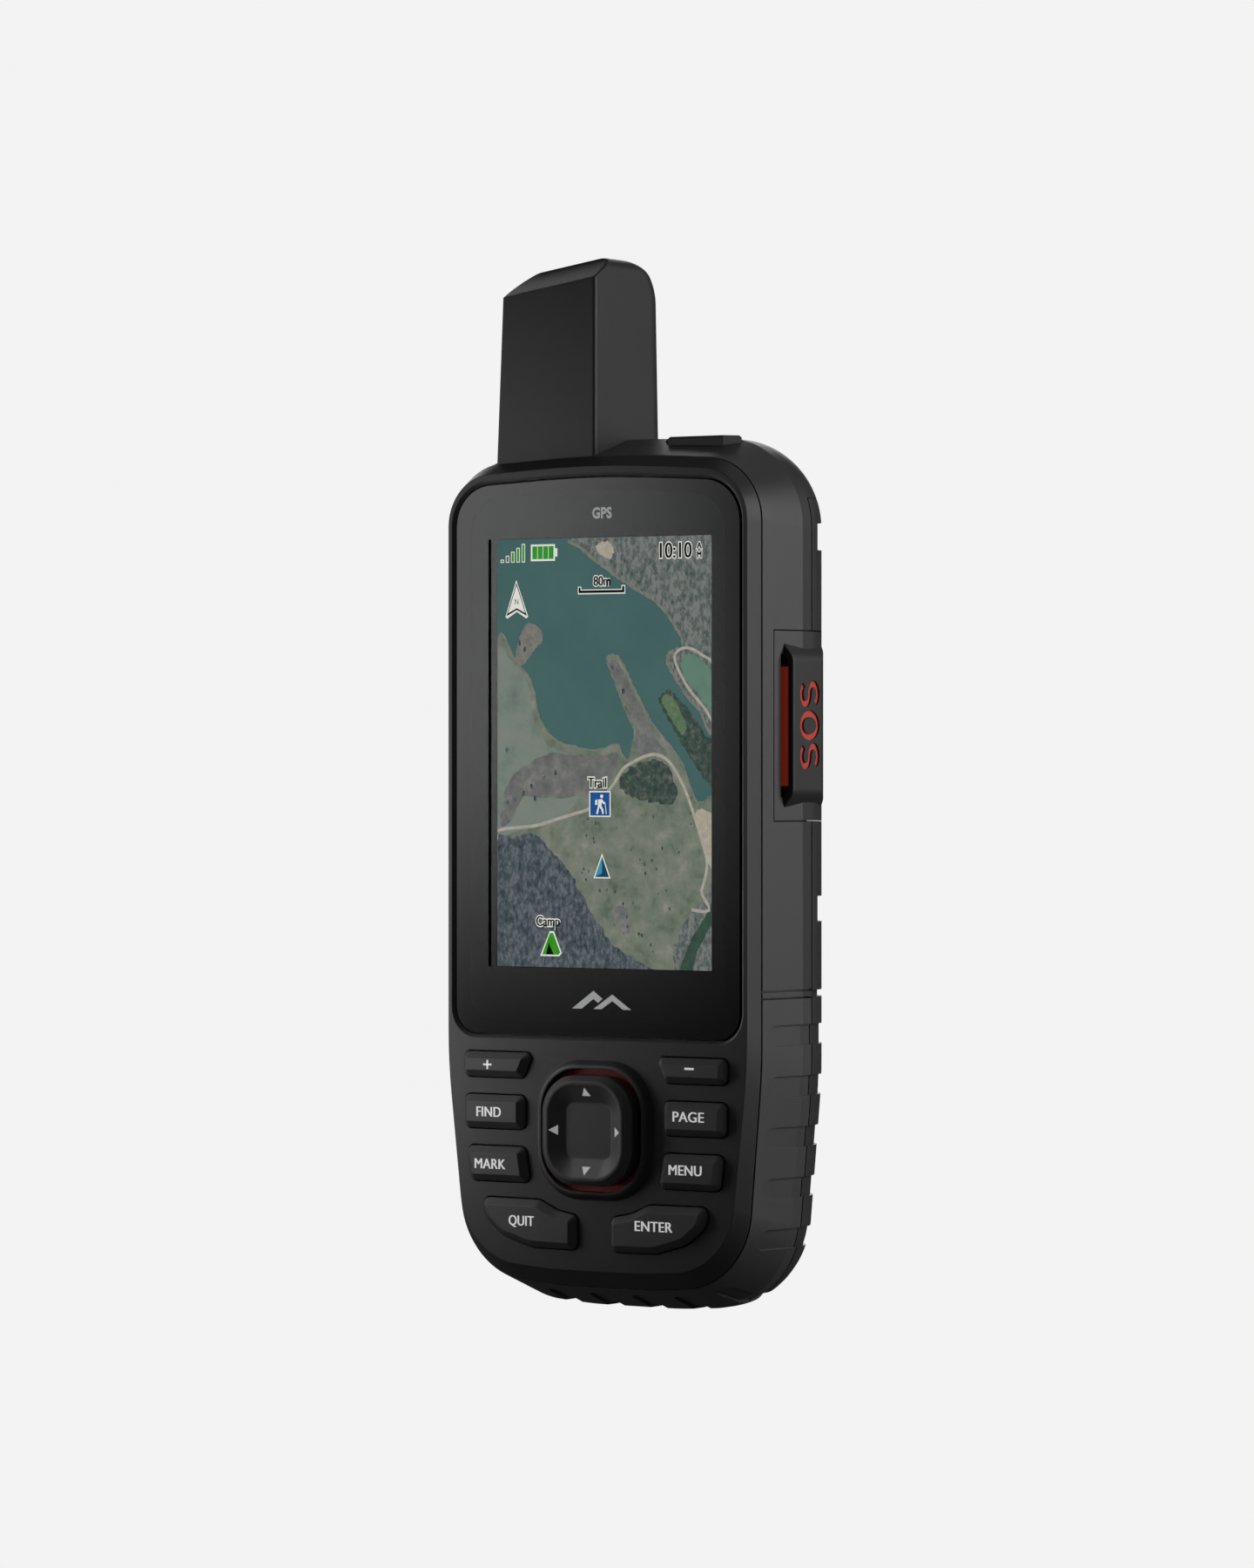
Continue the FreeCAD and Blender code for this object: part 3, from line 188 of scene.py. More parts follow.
# ---- materials on the carried-over nodes ---------------------------------------------------------
shell = moulded("shell_black", grey(0.030), (0.40, 0.50), edge=0.0001)
front = moulded("front_black", grey(0.028), (0.40, 0.50), edge=0.00018)
rubber = moulded("grip_rubber_black", grey(0.045), (0.46, 0.58), bump=0.16, edge=0.00012)
antenna = moulded("antenna_black", grey(0.024), (0.40, 0.50), edge=0.0004)
key_mat = moulded("key_black", grey(0.062), (0.46, 0.56), edge=0.00018)
pad_mat = moulded("pad_black", grey(0.055), (0.40, 0.50), edge=0.0004)
red = moulded("guarded_red_painted_glow", (0.55, 0.045, 0.02), (0.4, 0.5))
ring_red = moulded("ring_dark_red", (0.5, 0.045, 0.03), (0.4, 0.5))
letter_red_painted_glow = moulded("letter_red_painted_glow", srgb(190, 62, 50), (0.4, 0.5), edge=0.00008)
# Painted light: the red button and the SOS letters get a faint red glow of their own, standing in for
# light that the hood keeps off them.
for material, tone, level in ((red, (0.6, 0.05, 0.02), 0.13), (letter_red_painted_glow, (0.6, 0.07, 0.04), 0.12)):
    material.node_tree.nodes["Principled BSDF"].inputs["Emission Color"].default_value = (*tone, 1)
    material.node_tree.nodes["Principled BSDF"].inputs["Emission Strength"].default_value = level
    material.cycles.emission_sampling = "NONE"
dark_gasket = moulded("gasket_black", grey(0.008), (0.6, 0.7))
board = moulded("board_green", (0.01, 0.08, 0.03), (0.3, 0.4))
steel = metal("wire_steel", grey(0.55))
dark_steel = metal("screw_dark", grey(0.10), (0.3, 0.45))
gold = metal("contact_gold", (0.8, 0.55, 0.2))
copper = metal("winding_copper", (0.7, 0.32, 0.16))
tin = metal("can_tin", grey(0.6))
cream = moulded("former_cream", (0.55, 0.54, 0.5), (0.5, 0.6))
film = moulded("film_amber", (0.4, 0.25, 0.08), (0.2, 0.3))
wrap = moulded("battery_wrap", (0.03, 0.032, 0.04), (0.35, 0.5))


def lens_material():
    """Clear cover lens; its gloss comes from the print and the display right behind it."""
    mat, tree, shader = new_material("lens_glass")
    smear = noise(tree, 70.0, 5.0)
    tone = ramp(tree, smear.outputs["Fac"], [(0.3, (0.97, 0.98, 0.98)), (0.7, (0.985, 0.99, 0.99))])
    tree.links.new(tone.outputs["Color"], shader.inputs["Base Color"])
    shader.inputs["Roughness"].default_value = 0.0
    shader.inputs["Transmission Weight"].default_value = 1.0
    shader.inputs["IOR"].default_value = 1.0
    shader.inputs["Specular IOR Level"].default_value = 0.0
    return mat


print_black = moulded("mask_ink", grey(0.003), (0.09, 0.12), bump=0.0, edge=0.00001)
print_black.node_tree.nodes["Principled BSDF"].inputs["IOR"].default_value = GLOSS_IOR

CAD_MATERIALS = {
    "front_housing": front, "middle_housing": shell, "rear_cover": shell, "battery_door": shell,
    "lower_grip": rubber, "usb_cap": rubber, "antenna_housing": antenna, "antenna_former": cream,
    "antenna_helix": copper, "antenna_cable": dark_gasket, "display_lens": lens_material(),
    "lens_gasket": dark_gasket, "keypad_mat": dark_gasket, "display_panel": print_black,
    "display_carrier": dark_gasket, "thumb_pad": pad_mat, "pad_gimbal": dark_gasket,
    "pad_yoke": dark_gasket, "pad_ring": ring_red, "snap_domes": steel, "dome_sheet": film,
    "sos_cover": shell, "sos_button": red, "sos_legend": letter_red_painted_glow, "sos_hinge_pin": steel,
    "d_ring": steel, "battery_latch": dark_steel, "spine_screws": dark_steel,
    "cover_screws": dark_steel, "case_screws": dark_steel, "power_switch": dark_gasket,
    "sos_switch": dark_gasket, "buzzer": dark_gasket, "main_board": board, "battery_pack": wrap,
    "battery_contacts": gold, "shield_cans": tin, "card_socket": tin, "usb_port": tin,
    "modem_module": tin, "spine_mount": shell, "power_button": key_mat,
}
KEYS = ("zoom_in_key", "zoom_out_key", "find_key", "page_key", "mark_key", "menu_key", "quit_key",
        "enter_key")
for key in KEYS:
    CAD_MATERIALS[key] = key_mat
for node, mat in CAD_MATERIALS.items():
    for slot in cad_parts[node].material_slots:
        slot.material = mat


# ---- mesh helpers --------------------------------------------------------------------------------
def make_object(name, verts, faces, mat, body):
    mesh = bpy.data.meshes.new(name)
    mesh.from_pydata([tuple(v) for v in verts], [], faces)
    mesh.update()
    obj = bpy.data.objects.new(name, mesh)
    scene.collection.objects.link(obj)
    mesh.materials.append(mat)
    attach(obj, body)
    return obj


def smooth_loop(points, steps=6):
    """A closed Catmull-Rom curve through points."""
    n = len(points)
    out = []
    for i in range(n):
        p0, p1, p2, p3 = points[i - 1], points[i], points[(i + 1) % n], points[(i + 2) % n]
        for s in range(steps):
            t = s / steps
            out.append(tuple(0.5 * (2 * b + (c - a) * t + (2 * a - 5 * b + 4 * c - d) * t * t
                                    + (3 * b - a - 3 * c + d) * t ** 3)
                                     for a, b, c, d in zip(p0, p1, p2, p3)))
    return out


def roughened(points, amount, seed):
    """Pushes the points of a loop about at random, so an outline looks natural."""
    rng = random.Random(seed)
    return [(x + rng.uniform(-amount, amount), y + rng.uniform(-amount, amount)) for x, y in points]


# The display's picture is laid out from its top left corner: x to the right and y down, in mm.
SCREEN_X0 = -19.9
SCREEN_TOP = 119.6
SCREEN_W, SCREEN_H = 39.8, 66.6
LAYER = 0.012


def screen_point(x, y, layer):
    return mm(SCREEN_X0 + x, PANEL_Y - LAYER * (layer + 1), SCREEN_TOP - y)


def clamp_screen(points):
    return [(min(SCREEN_W, max(0, x)), min(SCREEN_H, max(0, y))) for x, y in points]


def screen_patch(name, points, layer, mat):
    """One flat region of the picture."""
    curve = bpy.data.curves.new(name, "CURVE")
    curve.dimensions = "2D"
    curve.fill_mode = "BOTH"
    spline = curve.splines.new("POLY")
    spline.points.add(len(points) - 1)
    for target, (x, y) in zip(spline.points, points):
        target.co = ((SCREEN_X0 + x) * MM, (SCREEN_TOP - y) * MM, 0, 1)
    spline.use_cyclic_u = True
    return flat_to_mesh(name, curve, PANEL_Y - LAYER * (layer + 1), mat, "case")


def flat_to_mesh(name, curve, depth_y, mat, body, offset=(0, 0)):
    """Turns a flat filled curve into an upright mesh that faces the front."""
    holder = bpy.data.objects.new(name + "_curve", curve)
    scene.collection.objects.link(holder)
    bpy.context.view_layer.update()
    mesh = bpy.data.meshes.new_from_object(holder)
    bpy.data.objects.remove(holder)
    for vertex in mesh.vertices:
        x, z, lift = vertex.co
        vertex.co = (x + offset[0], depth_y * MM - lift, z + offset[1])
    mesh.materials.clear()
    mesh.materials.append(mat)
    obj = bpy.data.objects.new(name, mesh)
    scene.collection.objects.link(obj)
    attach(obj, body)
    return obj


def lettering(name, text, height, centre, depth_y, mat, body, squeeze=1.0, spread_by=0.0,
              thickness=0.0, spacing=1.0, width=None, bold=0.0):
    """Plain lettering facing the front; height is the capital height in mm and centre is (x, z) in mm.
    bold widens the strokes sideways, by laying copies a little to each side."""
    curve = bpy.data.curves.new(name, "FONT")
    curve.body = text
    curve.align_x = "CENTER"
    curve.size = height * MM / 0.70
    curve.space_character = spacing
    curve.offset = spread_by * MM
    curve.extrude = thickness * MM / 2
    obj = flat_to_mesh(name, curve, depth_y - thickness / 2, mat, body)
    xs = [v.co.x for v in obj.data.vertices]
    zs = [v.co.z for v in obj.data.vertices]
    mid_x, mid_z = (min(xs) + max(xs)) / 2, (min(zs) + max(zs)) / 2
    if width:
        squeeze = width * MM / (max(xs) - min(xs))
    for vertex in obj.data.vertices:
        vertex.co.x = (vertex.co.x - mid_x) * squeeze + centre[0] * MM
        vertex.co.z = vertex.co.z - mid_z + centre[1] * MM
    if bold:
        mesh = bmesh.new()
        mesh.from_mesh(obj.data)
        first = list(mesh.verts) + list(mesh.edges) + list(mesh.faces)
        bmesh.ops.translate(mesh, verts=list(mesh.verts), vec=(-bold * MM, 0, 0))
        copy = bmesh.ops.duplicate(mesh, geom=first)["geom"]
        moved = [v for v in copy if isinstance(v, bmesh.types.BMVert)]
        bmesh.ops.translate(mesh, verts=moved, vec=(2 * bold * MM, -0.002 * MM, 0))
        mesh.to_mesh(obj.data)
        mesh.free()
    return obj


# ---- printed mask and marks behind the lens ------------------------------------------------------
# Painted light: the grey print on the lens mask (the GPS mark and the hill outline) glows on its own, so
# it shows bright whatever light reaches it.
glowing_mark_grey = glow("mark_ink_painted_glow", [(0.3, srgb(142, 142, 142)), (0.7, srgb(152, 152, 152))], 600.0)


def ring_sheet(name, outer, inner, depth):
    """A flat black sheet between two loops that have the same number of points."""
    n = len(outer)
    verts = [mm(x, depth, z) for x, z in outer] + [mm(x, depth, z) for x, z in inner]
    faces = []
    for i in range(n):
        j = (i + 1) % n
        faces.append((i, j, n + j, n + i) if inner[i] != inner[j] else (i, j, n + i))
    return make_object(name, verts, faces, print_black, "case")


def arc(cx, cz, r, start, end, steps=8):
    angles = [math.radians(start + (end - start) * i / steps) for i in range(steps + 1)]
    return [(cx + r * math.cos(t), cz + r * math.sin(t)) for t in angles]


def lens_loop(gap):
    """The lens outline moved inwards by gap, from the bottom right corner round to the bottom left."""
    half_w, low = LENS_HIGH[0] - gap, LENS_LOW[2] + gap
    bottom = arc(half_w - 4.0 + gap, low + 4.0 - gap, 4.0 - gap, -90, 0)
    top = arc(half_w - 6.5 + gap, 121.6, 6.5 - gap, 0, 87) + [(9.9, 128.61 - gap), (5.0, 128.79 - gap)]
    right = bottom + top
    return right + [(0.0, 128.86 - gap)] + [(-x, z) for x, z in reversed(right)]


def mask_ring():
    """Black print behind the lens: a rim just under its face and a sheet on its back round the display."""
    rim = lens_loop(0.1)
    inner = [(x * 0.9, 85.5 + (z - 85.5) * 0.955) for x, z in rim]
    edge = ring_sheet("lens_rim_print", rim, inner, LENS_LOW[1] - 0.02)
    edge.visible_glossy = False
    edge.visible_transmission = False
    back = lens_loop(0.5)
    low, high = SCREEN_TOP - SCREEN_H - 0.1, SCREEN_TOP + 0.1
    window = [(21.4 if x > 0 else -21.4, high if z > 85 else low) for x, z in back]
    middle = len(back) // 2
    window[middle] = (-21.4, high)
    ring_sheet("lens_mask", back, window, LENS_HIGH[1] + 0.06)


mask_ring()
# The GPS mark uses the glowing grey print: painted light.
lettering("top_mark", "GPS", 1.6, (0, 123.4), LENS_HIGH[1] + 0.04, glowing_mark_grey, "case",
          0.9, 0.09, spacing=1.05)

# ---- the display's picture -----------------------------------------------------------------------
water = glow("map_water", [(0.3, srgb(61, 92, 91)), (0.7, srgb(69, 100, 98))], 60.0, 6.0)
meadow = glow("map_meadow", [(0.30, srgb(82, 94, 80)), (0.45, srgb(104, 114, 101)),
                             (0.56, srgb(117, 121, 109)), (0.72, srgb(136, 138, 126))], 330.0, 10.0)
field = glow("map_field", [(0.3, srgb(98, 110, 103)), (0.5, srgb(115, 126, 117)),
                           (0.7, srgb(124, 127, 120))], 200.0, 9.0)
brown = glow("map_brown", [(0.3, srgb(88, 90, 91)), (0.5, srgb(106, 107, 105)),
                           (0.7, srgb(128, 127, 122))], 420.0, 9.0)
wood = glow("map_wood", [(0.32, srgb(44, 54, 58)), (0.5, srgb(74, 83, 88)), (0.62, srgb(102, 106, 112)),
                         (0.75, srgb(66, 80, 74))], 1500.0, 8.0, stretch=(1, 1, 0.6))
grey_wood = glow("map_grey_wood", [(0.3, srgb(58, 74, 71)), (0.45, srgb(88, 96, 94)),
                                   (0.6, srgb(122, 124, 121)), (0.75, srgb(92, 101, 94))], 1500.0,
                 8.0, stretch=(1, 1, 0.6))
bank = glow("map_bank", [(0.3, srgb(98, 101, 96)), (0.7, srgb(130, 127, 118))], 900.0, 6.0)
pond = glow("map_pond", [(0.4, srgb(86, 112, 98)), (0.6, srgb(94, 125, 109))], 100.0)
grove = glow("map_grove", [(0.3, srgb(42, 58, 58)), (0.5, srgb(60, 74, 68)),
                           (0.7, srgb(98, 102, 92))], 1000.0, 8.0)
road = glow("map_road", [(0.3, srgb(148, 144, 134)), (0.7, srgb(172, 166, 156))], 1200.0)
sand = glow("map_sand", [(0.3, srgb(150, 142, 128)), (0.7, srgb(176, 168, 152))], 900.0)
white = glow("map_white", [(0.3, srgb(214, 214, 206)), (0.7, srgb(222, 222, 214))], 300.0)
ink = glow("map_ink", [(0.3, srgb(8, 8, 8)), (0.7, srgb(16, 16, 16))], 300.0)
cell = glow("map_cell_green", [(0.3, srgb(44, 132, 44)), (0.7, srgb(54, 146, 52))], 300.0)
sign_blue = glow("map_sign_blue", [(0.3, srgb(26, 66, 124)), (0.7, srgb(34, 84, 148))], 120.0)
arrow_light = glow("map_arrow_light", [(0.3, srgb(52, 132, 158)), (0.7, srgb(70, 152, 176))], 200.0)
arrow_dark = glow("map_arrow_dark", [(0.3, srgb(18, 58, 84)), (0.7, srgb(28, 76, 104))], 200.0)
tent_green = glow("map_tent_green", [(0.3, srgb(40, 128, 24)), (0.7, srgb(66, 158, 38))], 300.0)

WATER = [(0, 0), (SCREEN_W, 0), (SCREEN_W, SCREEN_H), (0, SCREEN_H)]
HILL = [(15.2, -0.5), (16.2, 1.6), (19.5, 4.0), (22.9, 6.1), (26.2, 8.0), (29.9, 10.0),
        (32.3, 12.4), (33.8, 14.4), (34.7, 16.5), (32.3, 17.5), (31.8, 19.0), (32.9, 21.0),
        (35.3, 24.1), (37.7, 26.6), (40.5, 28.6), (41, -1)]
SHORE = [(-0.5, 18.1), (3.2, 18.8), (4.2, 19.9), (5.9, 21.7), (6.9, 24), (7.5, 26.8), (8.6, 29.1),
         (11, 31.4), (14.7, 32.5), (18.9, 32.9), (22.3, 32.1), (23.2, 33.6), (24.4, 34.5),
         (25, 32.6), (25.5, 29.8), (23.8, 26.8), (22.5, 23.7), (21.1, 20.6), (20.4, 18.8),
         (21.5, 18.2), (23.2, 19.3), (25, 22.4), (27.1, 26), (29.2, 29.3), (32.3, 32.4),
         (34.1, 34.7), (35.3, 37), (36.8, 40.6), (38, 41), (40.5, 42.2), (41, 67), (-0.5, 67)]
CAPE = [(3.4, 18.9), (4.1, 15.5), (5.6, 13), (8, 14), (8.5, 15.8), (7.1, 17), (5.9, 18.6), (4.4, 19.8)]
ISLAND = [(30.2, 25), (32, 23.7), (33.8, 25), (35.9, 27), (38.7, 30.5), (40.5, 32), (40.5, 38.6),
          (38, 36.6), (35.9, 34), (33.5, 30.5), (31.4, 27.4)]
POND = [(34.0, 19), (35.3, 18), (37.1, 18.5), (40.5, 21.6), (40.5, 27.4), (37.1, 24), (34.7, 21.5)]
LEFT_FIELD = [(-0.5, 18.6), (3.0, 19.3), (5.4, 22), (6.3, 25), (7.2, 29), (10, 32.3), (14, 33.6),
              (17, 34.6), (16, 39), (12, 43), (0, 46.6), (-0.5, 46)]
BROWN_FIELD = [(10, 33.4), (15, 33.6), (19, 33.9), (22.3, 33.2), (23, 35), (21, 37.6), (17, 39.5),
               (9, 40.5), (5, 40.0), (3, 43.5), (0.6, 44.5), (1.6, 38.5), (5, 35.5)]
LOW_WOOD = [(-0.5, 47.8), (3.2, 46.6), (6.8, 45.9), (10.4, 48.7), (13.5, 51.7), (15.9, 55.3),
            (18.9, 59.4), (21.4, 62.5), (26.5, 65.5), (27.2, 67), (-0.5, 67)]
RIGHT_WOOD = [(33.2, 67), (34.1, 60.4), (35.9, 57.9), (37.7, 56.3), (41, 53.2), (41, 67)]
GROVE = [(22.8, 37.6), (24.5, 35.8), (27.4, 34.7), (30.5, 34.6), (32.8, 37), (33.4, 40.5),
         (31, 41.2), (27.4, 40.5), (24.2, 39.6)]
SPIT_TONE = [(20.9, 19.3), (21.7, 18.7), (23.2, 20), (25.3, 23.6), (27.3, 27), (29.0, 30.5), (31.8, 33.6),
             (27.0, 33.6), (25.6, 32.8), (25.9, 30), (24.6, 27), (22.9, 23.6)]
SAND = [(37.4, 41.9), (41, 43.6), (41, 51.7), (38.9, 49.7), (38.0, 46.4), (37.1, 43.5)]
CREEK = [(40.5, 54.6), (38.9, 58.0), (36.4, 61.4), (34.9, 64.4), (34.0, 67), (36.0, 67),
         (37.2, 63.8), (39.2, 60.4), (41, 58.0)]
GLADE = [(21.4, 58.0), (23.3, 56.8), (25.0, 59.0), (24.6, 61.2), (22.6, 60.0)]


def region(name, points, layer, mat, amount=0.12, steps=7):
    loop = roughened(smooth_loop(points, steps), amount, name)
    return screen_patch(name, clamp_screen(loop), layer, mat)


screen_patch("map_lake", WATER, 0, water)
region("map_hill_bank", [(x - 0.35, y + 0.3) for x, y in HILL], 1, bank)
region("map_hill", HILL, 2, grey_wood, 0.16)
region("map_shore_bank", [(x + 0.12, y - 0.25) for x, y in SHORE], 1, bank)
region("map_shore", SHORE, 2, meadow)
region("map_cape", CAPE, 3, bank)
region("map_spit", SPIT_TONE, 3, brown, 0.1)
region("map_left_field", LEFT_FIELD, 3, field)
region("map_brown_field", BROWN_FIELD, 4, brown, 0.2)
region("map_island", ISLAND, 3, grove, 0.2)
region("map_island_light", [(30.6, 25.1), (32.1, 24.3), (33.6, 26), (35.2, 29.2), (34.2, 30.4),
                            (32, 27.4)], 4,
       glow("map_leaf", [(0.3, srgb(70, 98, 68)), (0.7, srgb(104, 124, 96))], 1000.0, 7.0), 0.15)
region("map_low_wood", LOW_WOOD, 4, wood, 0.25)
region("map_right_wood", RIGHT_WOOD, 4, grey_wood, 0.25)
region("map_creek", CREEK, 5, glow("map_creek_green",
                                   [(0.3, srgb(44, 66, 58)), (0.7, srgb(62, 84, 70))], 600.0), 0.1)
region("map_grove_patch", GROVE, 4, grove, 0.3)
region("map_glade", GLADE, 4, brown, 0.15)
region("map_sand_patch", SAND, 5, sand, 0.15)
region("map_clearing", [(18.6, 1.2), (20.6, 0.6), (21.8, 1.8), (21.2, 3.3), (19.6, 2.8)], 3, sand, 0.15)


def screen_line(name, points, width, layer, mat, closed=False):
    """A line of even width through points, such as a road."""
    path = smooth_loop(points, 6)
    if not closed:
        path = path[: (len(points) - 1) * 6 + 1]
    left, right = [], []
    for i, (x, y) in enumerate(path):
        ax, ay = path[max(0, i - 1)]
        bx, by = path[min(len(path) - 1, i + 1)]
        length = math.hypot(bx - ax, by - ay) or 1
        nx, ny = -(by - ay) / length * width / 2, (bx - ax) / length * width / 2
        left.append((x + nx, y + ny))
        right.append((x - nx, y - ny))
    verts = [screen_point(*p, layer) for p in clamp_screen(left + right)]
    n = len(left)
    faces = [(i, i + 1, n + i + 1, n + i) for i in range(n - 1)]
    return make_object(name, verts, faces, mat, "case")


screen_line("map_road", [(0.0, 46.9), (8, 44.5), (13.5, 43), (17.4, 41.9), (20.1, 39.9), (22, 37.9),
                         (23.8, 35.6), (27.4, 33.9), (29.9, 33.6), (32.3, 34.9), (34.7, 38.4),
                         (36.5, 42.5), (38, 46.6), (39, 50.2), (38, 54.3), (36.2, 57.3)], 0.5, 6, road)
screen_line("map_pond_road", [(41, 20.9), (37.9, 18.2), (35.3, 17.2), (33.5, 17.8), (33.2, 19.3),
                              (35.3, 23), (38.4, 26.3), (41, 28.9)], 0.45, 5, road)
region("map_pond_water", [(x + 0.3, y + 0.25) for x, y in POND], 6, pond, 0.08)

rng = random.Random(7)
TREES = [(1.8, 32.8), (11, 36.3), (8.9, 37.2), (5.0, 39.6), (6.5, 38.6), (3.4, 40.4), (2.0, 41),
         (7.1, 40.4), (21.6, 20.0), (23.6, 23.8), (5.2, 17.2), (4.2, 16.2)]
for i in range(46):
    TREES.append((rng.uniform(15.5, 36.5), rng.uniform(41.5, 64)))
for i, (x, y) in enumerate(TREES):
    size = 0.42 if i < 12 else rng.uniform(0.12, 0.3)
    spots = [(x + size * (0.7 + rng.uniform(-0.25, 0.3)) * math.cos(t),
              y + size * (1.1 + rng.uniform(-0.3, 0.3)) * math.sin(t))
             for t in [k * math.pi / 5 for k in range(10)]]
    screen_patch("map_tree_%02d" % i, clamp_screen(spots), 6, wood if i < 12 else grove)


# ---- signs on the picture ------------------------------------------------------------------------
def screen_text(name, text, height, x, y, layer, squeeze=0.82, outline=0.2, fill=ink, halo=white):
    centre = (SCREEN_X0 + x, SCREEN_TOP - y)
    lettering(name + "_halo", text, height, centre, PANEL_Y - LAYER * (layer + 1), halo, "case",
              squeeze, outline + 0.03, bold=0.03)
    lettering(name, text, height, centre, PANEL_Y - LAYER * (layer + 2), fill, "case",
              squeeze, 0.0, bold=0.06)


def rect(x0, y0, x1, y1):
    return [(x0, y0), (x1, y0), (x1, y1), (x0, y1)]


TOP = 7
for i in range(5):
    x = 0.6 + i * 1.0
    height = 0.5 + i * 0.6
    screen_patch("signal_rim_%d" % i, rect(x, 3.6 - height, x + 0.66, 3.6), TOP, white)
    screen_patch("signal_bar_%d" % i, rect(x + 0.13, 3.73 - height, x + 0.53, 3.47), TOP + 1,
                 cell if i > 1 else water)
screen_patch("battery_rim", rect(6.35, 0.85, 10.9, 3.45), TOP, white)
screen_patch("battery_tip", rect(10.9, 1.5, 11.35, 2.8), TOP, white)
for i in range(4):
    screen_patch("battery_cell_%d" % i, rect(6.65 + i * 1.02, 1.15, 7.57 + i * 1.02, 3.15), TOP + 1, cell)
screen_text("clock", "10:10", 2.35, 33.3, 2.2, TOP, 0.86, 0.16)
screen_text("clock_a", "A", 1.0, 37.6, 1.55, TOP, 0.9, 0.12)
screen_text("clock_m", "M", 1.0, 37.6, 2.95, TOP, 0.8, 0.12)
screen_text("scale_words", "80m", 1.5, 19.7, 6.7, TOP, 0.86, 0.14)
screen_patch("scale_rim", [(15.2, 7.55), (15.85, 7.55), (15.85, 8.0), (23.3, 8.0), (23.3, 7.4),
                           (24.0, 7.4), (24.0, 8.75), (15.2, 8.75)], TOP, white)
screen_patch("scale_bar", [(15.35, 7.7), (15.7, 7.7), (15.7, 8.15), (23.45, 8.15), (23.45, 7.55),
                           (23.85, 7.55), (23.85, 8.55), (15.35, 8.55)], TOP + 1, ink)
screen_patch("north_rim", [(3.6, 6.3), (5.85, 12.05), (5.5, 12.35), (3.7, 11.3), (1.9, 12.35),
                           (1.55, 12.05)], TOP,
             white)
screen_patch("north_line", [(3.65, 6.75), (5.6, 11.95), (3.7, 11.0), (1.75, 11.95)], TOP + 1, ink)
screen_patch("north_fill", [(3.66, 7.15), (5.3, 11.5), (3.7, 10.72), (2.05, 11.5)], TOP + 2, white)
lettering("north_letter", "N", 0.85, (SCREEN_X0 + 3.68, SCREEN_TOP - 9.7),
          PANEL_Y - LAYER * (TOP + 5), ink, "case", 0.9)
screen_text("trail_words", "Trail", 1.55, 18.8, 37.9, TOP, 0.85, 0.16)
screen_patch("trail_rim", rect(17.3, 39.2, 21.3, 43.2), TOP, white)
screen_patch("trail_sign", rect(17.5, 39.4, 21.1, 43.0), TOP + 1, sign_blue)
WALKER = [[(19.45, 39.75), (19.85, 39.75), (19.95, 40.1), (19.65, 40.35), (19.35, 40.1)],
          [(19.0, 40.5), (19.75, 40.45), (20.25, 41.1), (20.05, 41.25), (19.65, 40.95),
           (19.6, 41.5), (19.95, 42.0), (20.05, 42.7), (19.75, 42.75), (19.6, 42.1), (19.2, 41.7),
           (18.95, 42.75), (18.6, 42.7), (18.95, 41.6)],
          [(18.45, 40.6), (18.85, 40.5), (18.8, 41.35), (18.4, 41.3)],
          [(20.2, 40.9), (20.32, 40.9), (20.6, 42.75), (20.45, 42.75)]]
for i, part in enumerate(WALKER):
    screen_patch("trail_walker_%d" % i, part, TOP + 2, white)
screen_patch("place_rim", [(19.7, 48.8), (21.3, 52.7), (18.1, 52.7)], TOP, white)
screen_patch("place_left", [(19.7, 49.3), (19.7, 51.9), (18.4, 52.5)], TOP + 1, arrow_light)
screen_patch("place_right", [(19.7, 49.3), (21.0, 52.5), (19.7, 51.9)], TOP + 1, arrow_dark)
screen_patch("place_base", [(19.7, 51.9), (21.0, 52.5), (18.4, 52.5)], TOP + 1, arrow_dark)
screen_text("camp_words", "Camp", 1.55, 9.6, 59.7, TOP, 0.85, 0.16)
screen_patch("camp_rim", [(9.9, 61.0), (10.7, 61.0), (12.2, 64.4), (11.7, 64.9), (8.1, 64.9)], TOP, white)
screen_patch("camp_tent", [(9.95, 61.3), (10.55, 61.3), (11.9, 64.3), (11.55, 64.65), (8.5, 64.65)],
             TOP + 1, tent_green)
screen_patch("camp_door", [(9.75, 62.8), (10.7, 64.65), (9.2, 64.65)], TOP + 2, ink)

# ---- mark below the display: a plain outline of hills --------------------------------------------
MARK_Y = LENS_HIGH[1] + 0.04


# The hill outline uses the glowing grey print: painted light.
def plain_mark(name, points):
    verts = [mm(x, MARK_Y, z) for x, z in points]
    return make_object(name, verts, [tuple(range(len(verts)))], glowing_mark_grey, "case")


plain_mark("hill_mark_large", [(-5.6, 46.7), (-1.6, 49.5), (0.1, 48.3), (-0.75, 47.65), (-1.6, 48.25),
                               (-3.8, 46.7)])
plain_mark("hill_mark_small", [(-1.6, 46.7), (1.9, 49.0), (5.4, 46.7), (3.9, 46.7), (1.9, 48.0),
                               (-0.1, 46.7)])

# ---- key labels and pad arrows -------------------------------------------------------------------
# Painted light: the key labels and pad arrows are print that glows on its own, so they show bright
# whatever light falls on them.
def glowing_print(name, tone, strength):
    mat = moulded(name, tone, (0.45, 0.55), bump=0.04, edge=0.00002)
    shader = mat.node_tree.nodes["Principled BSDF"]
    shader.inputs["Emission Color"].default_value = (*tone, 1)
    shader.inputs["Emission Strength"].default_value = strength
    mat.cycles.emission_sampling = "NONE"
    return mat


label = glowing_print("label_grey", srgb(205, 205, 205), 0.62)
arrow_grey = glowing_print("arrow_grey", srgb(180, 180, 180), 0.5)
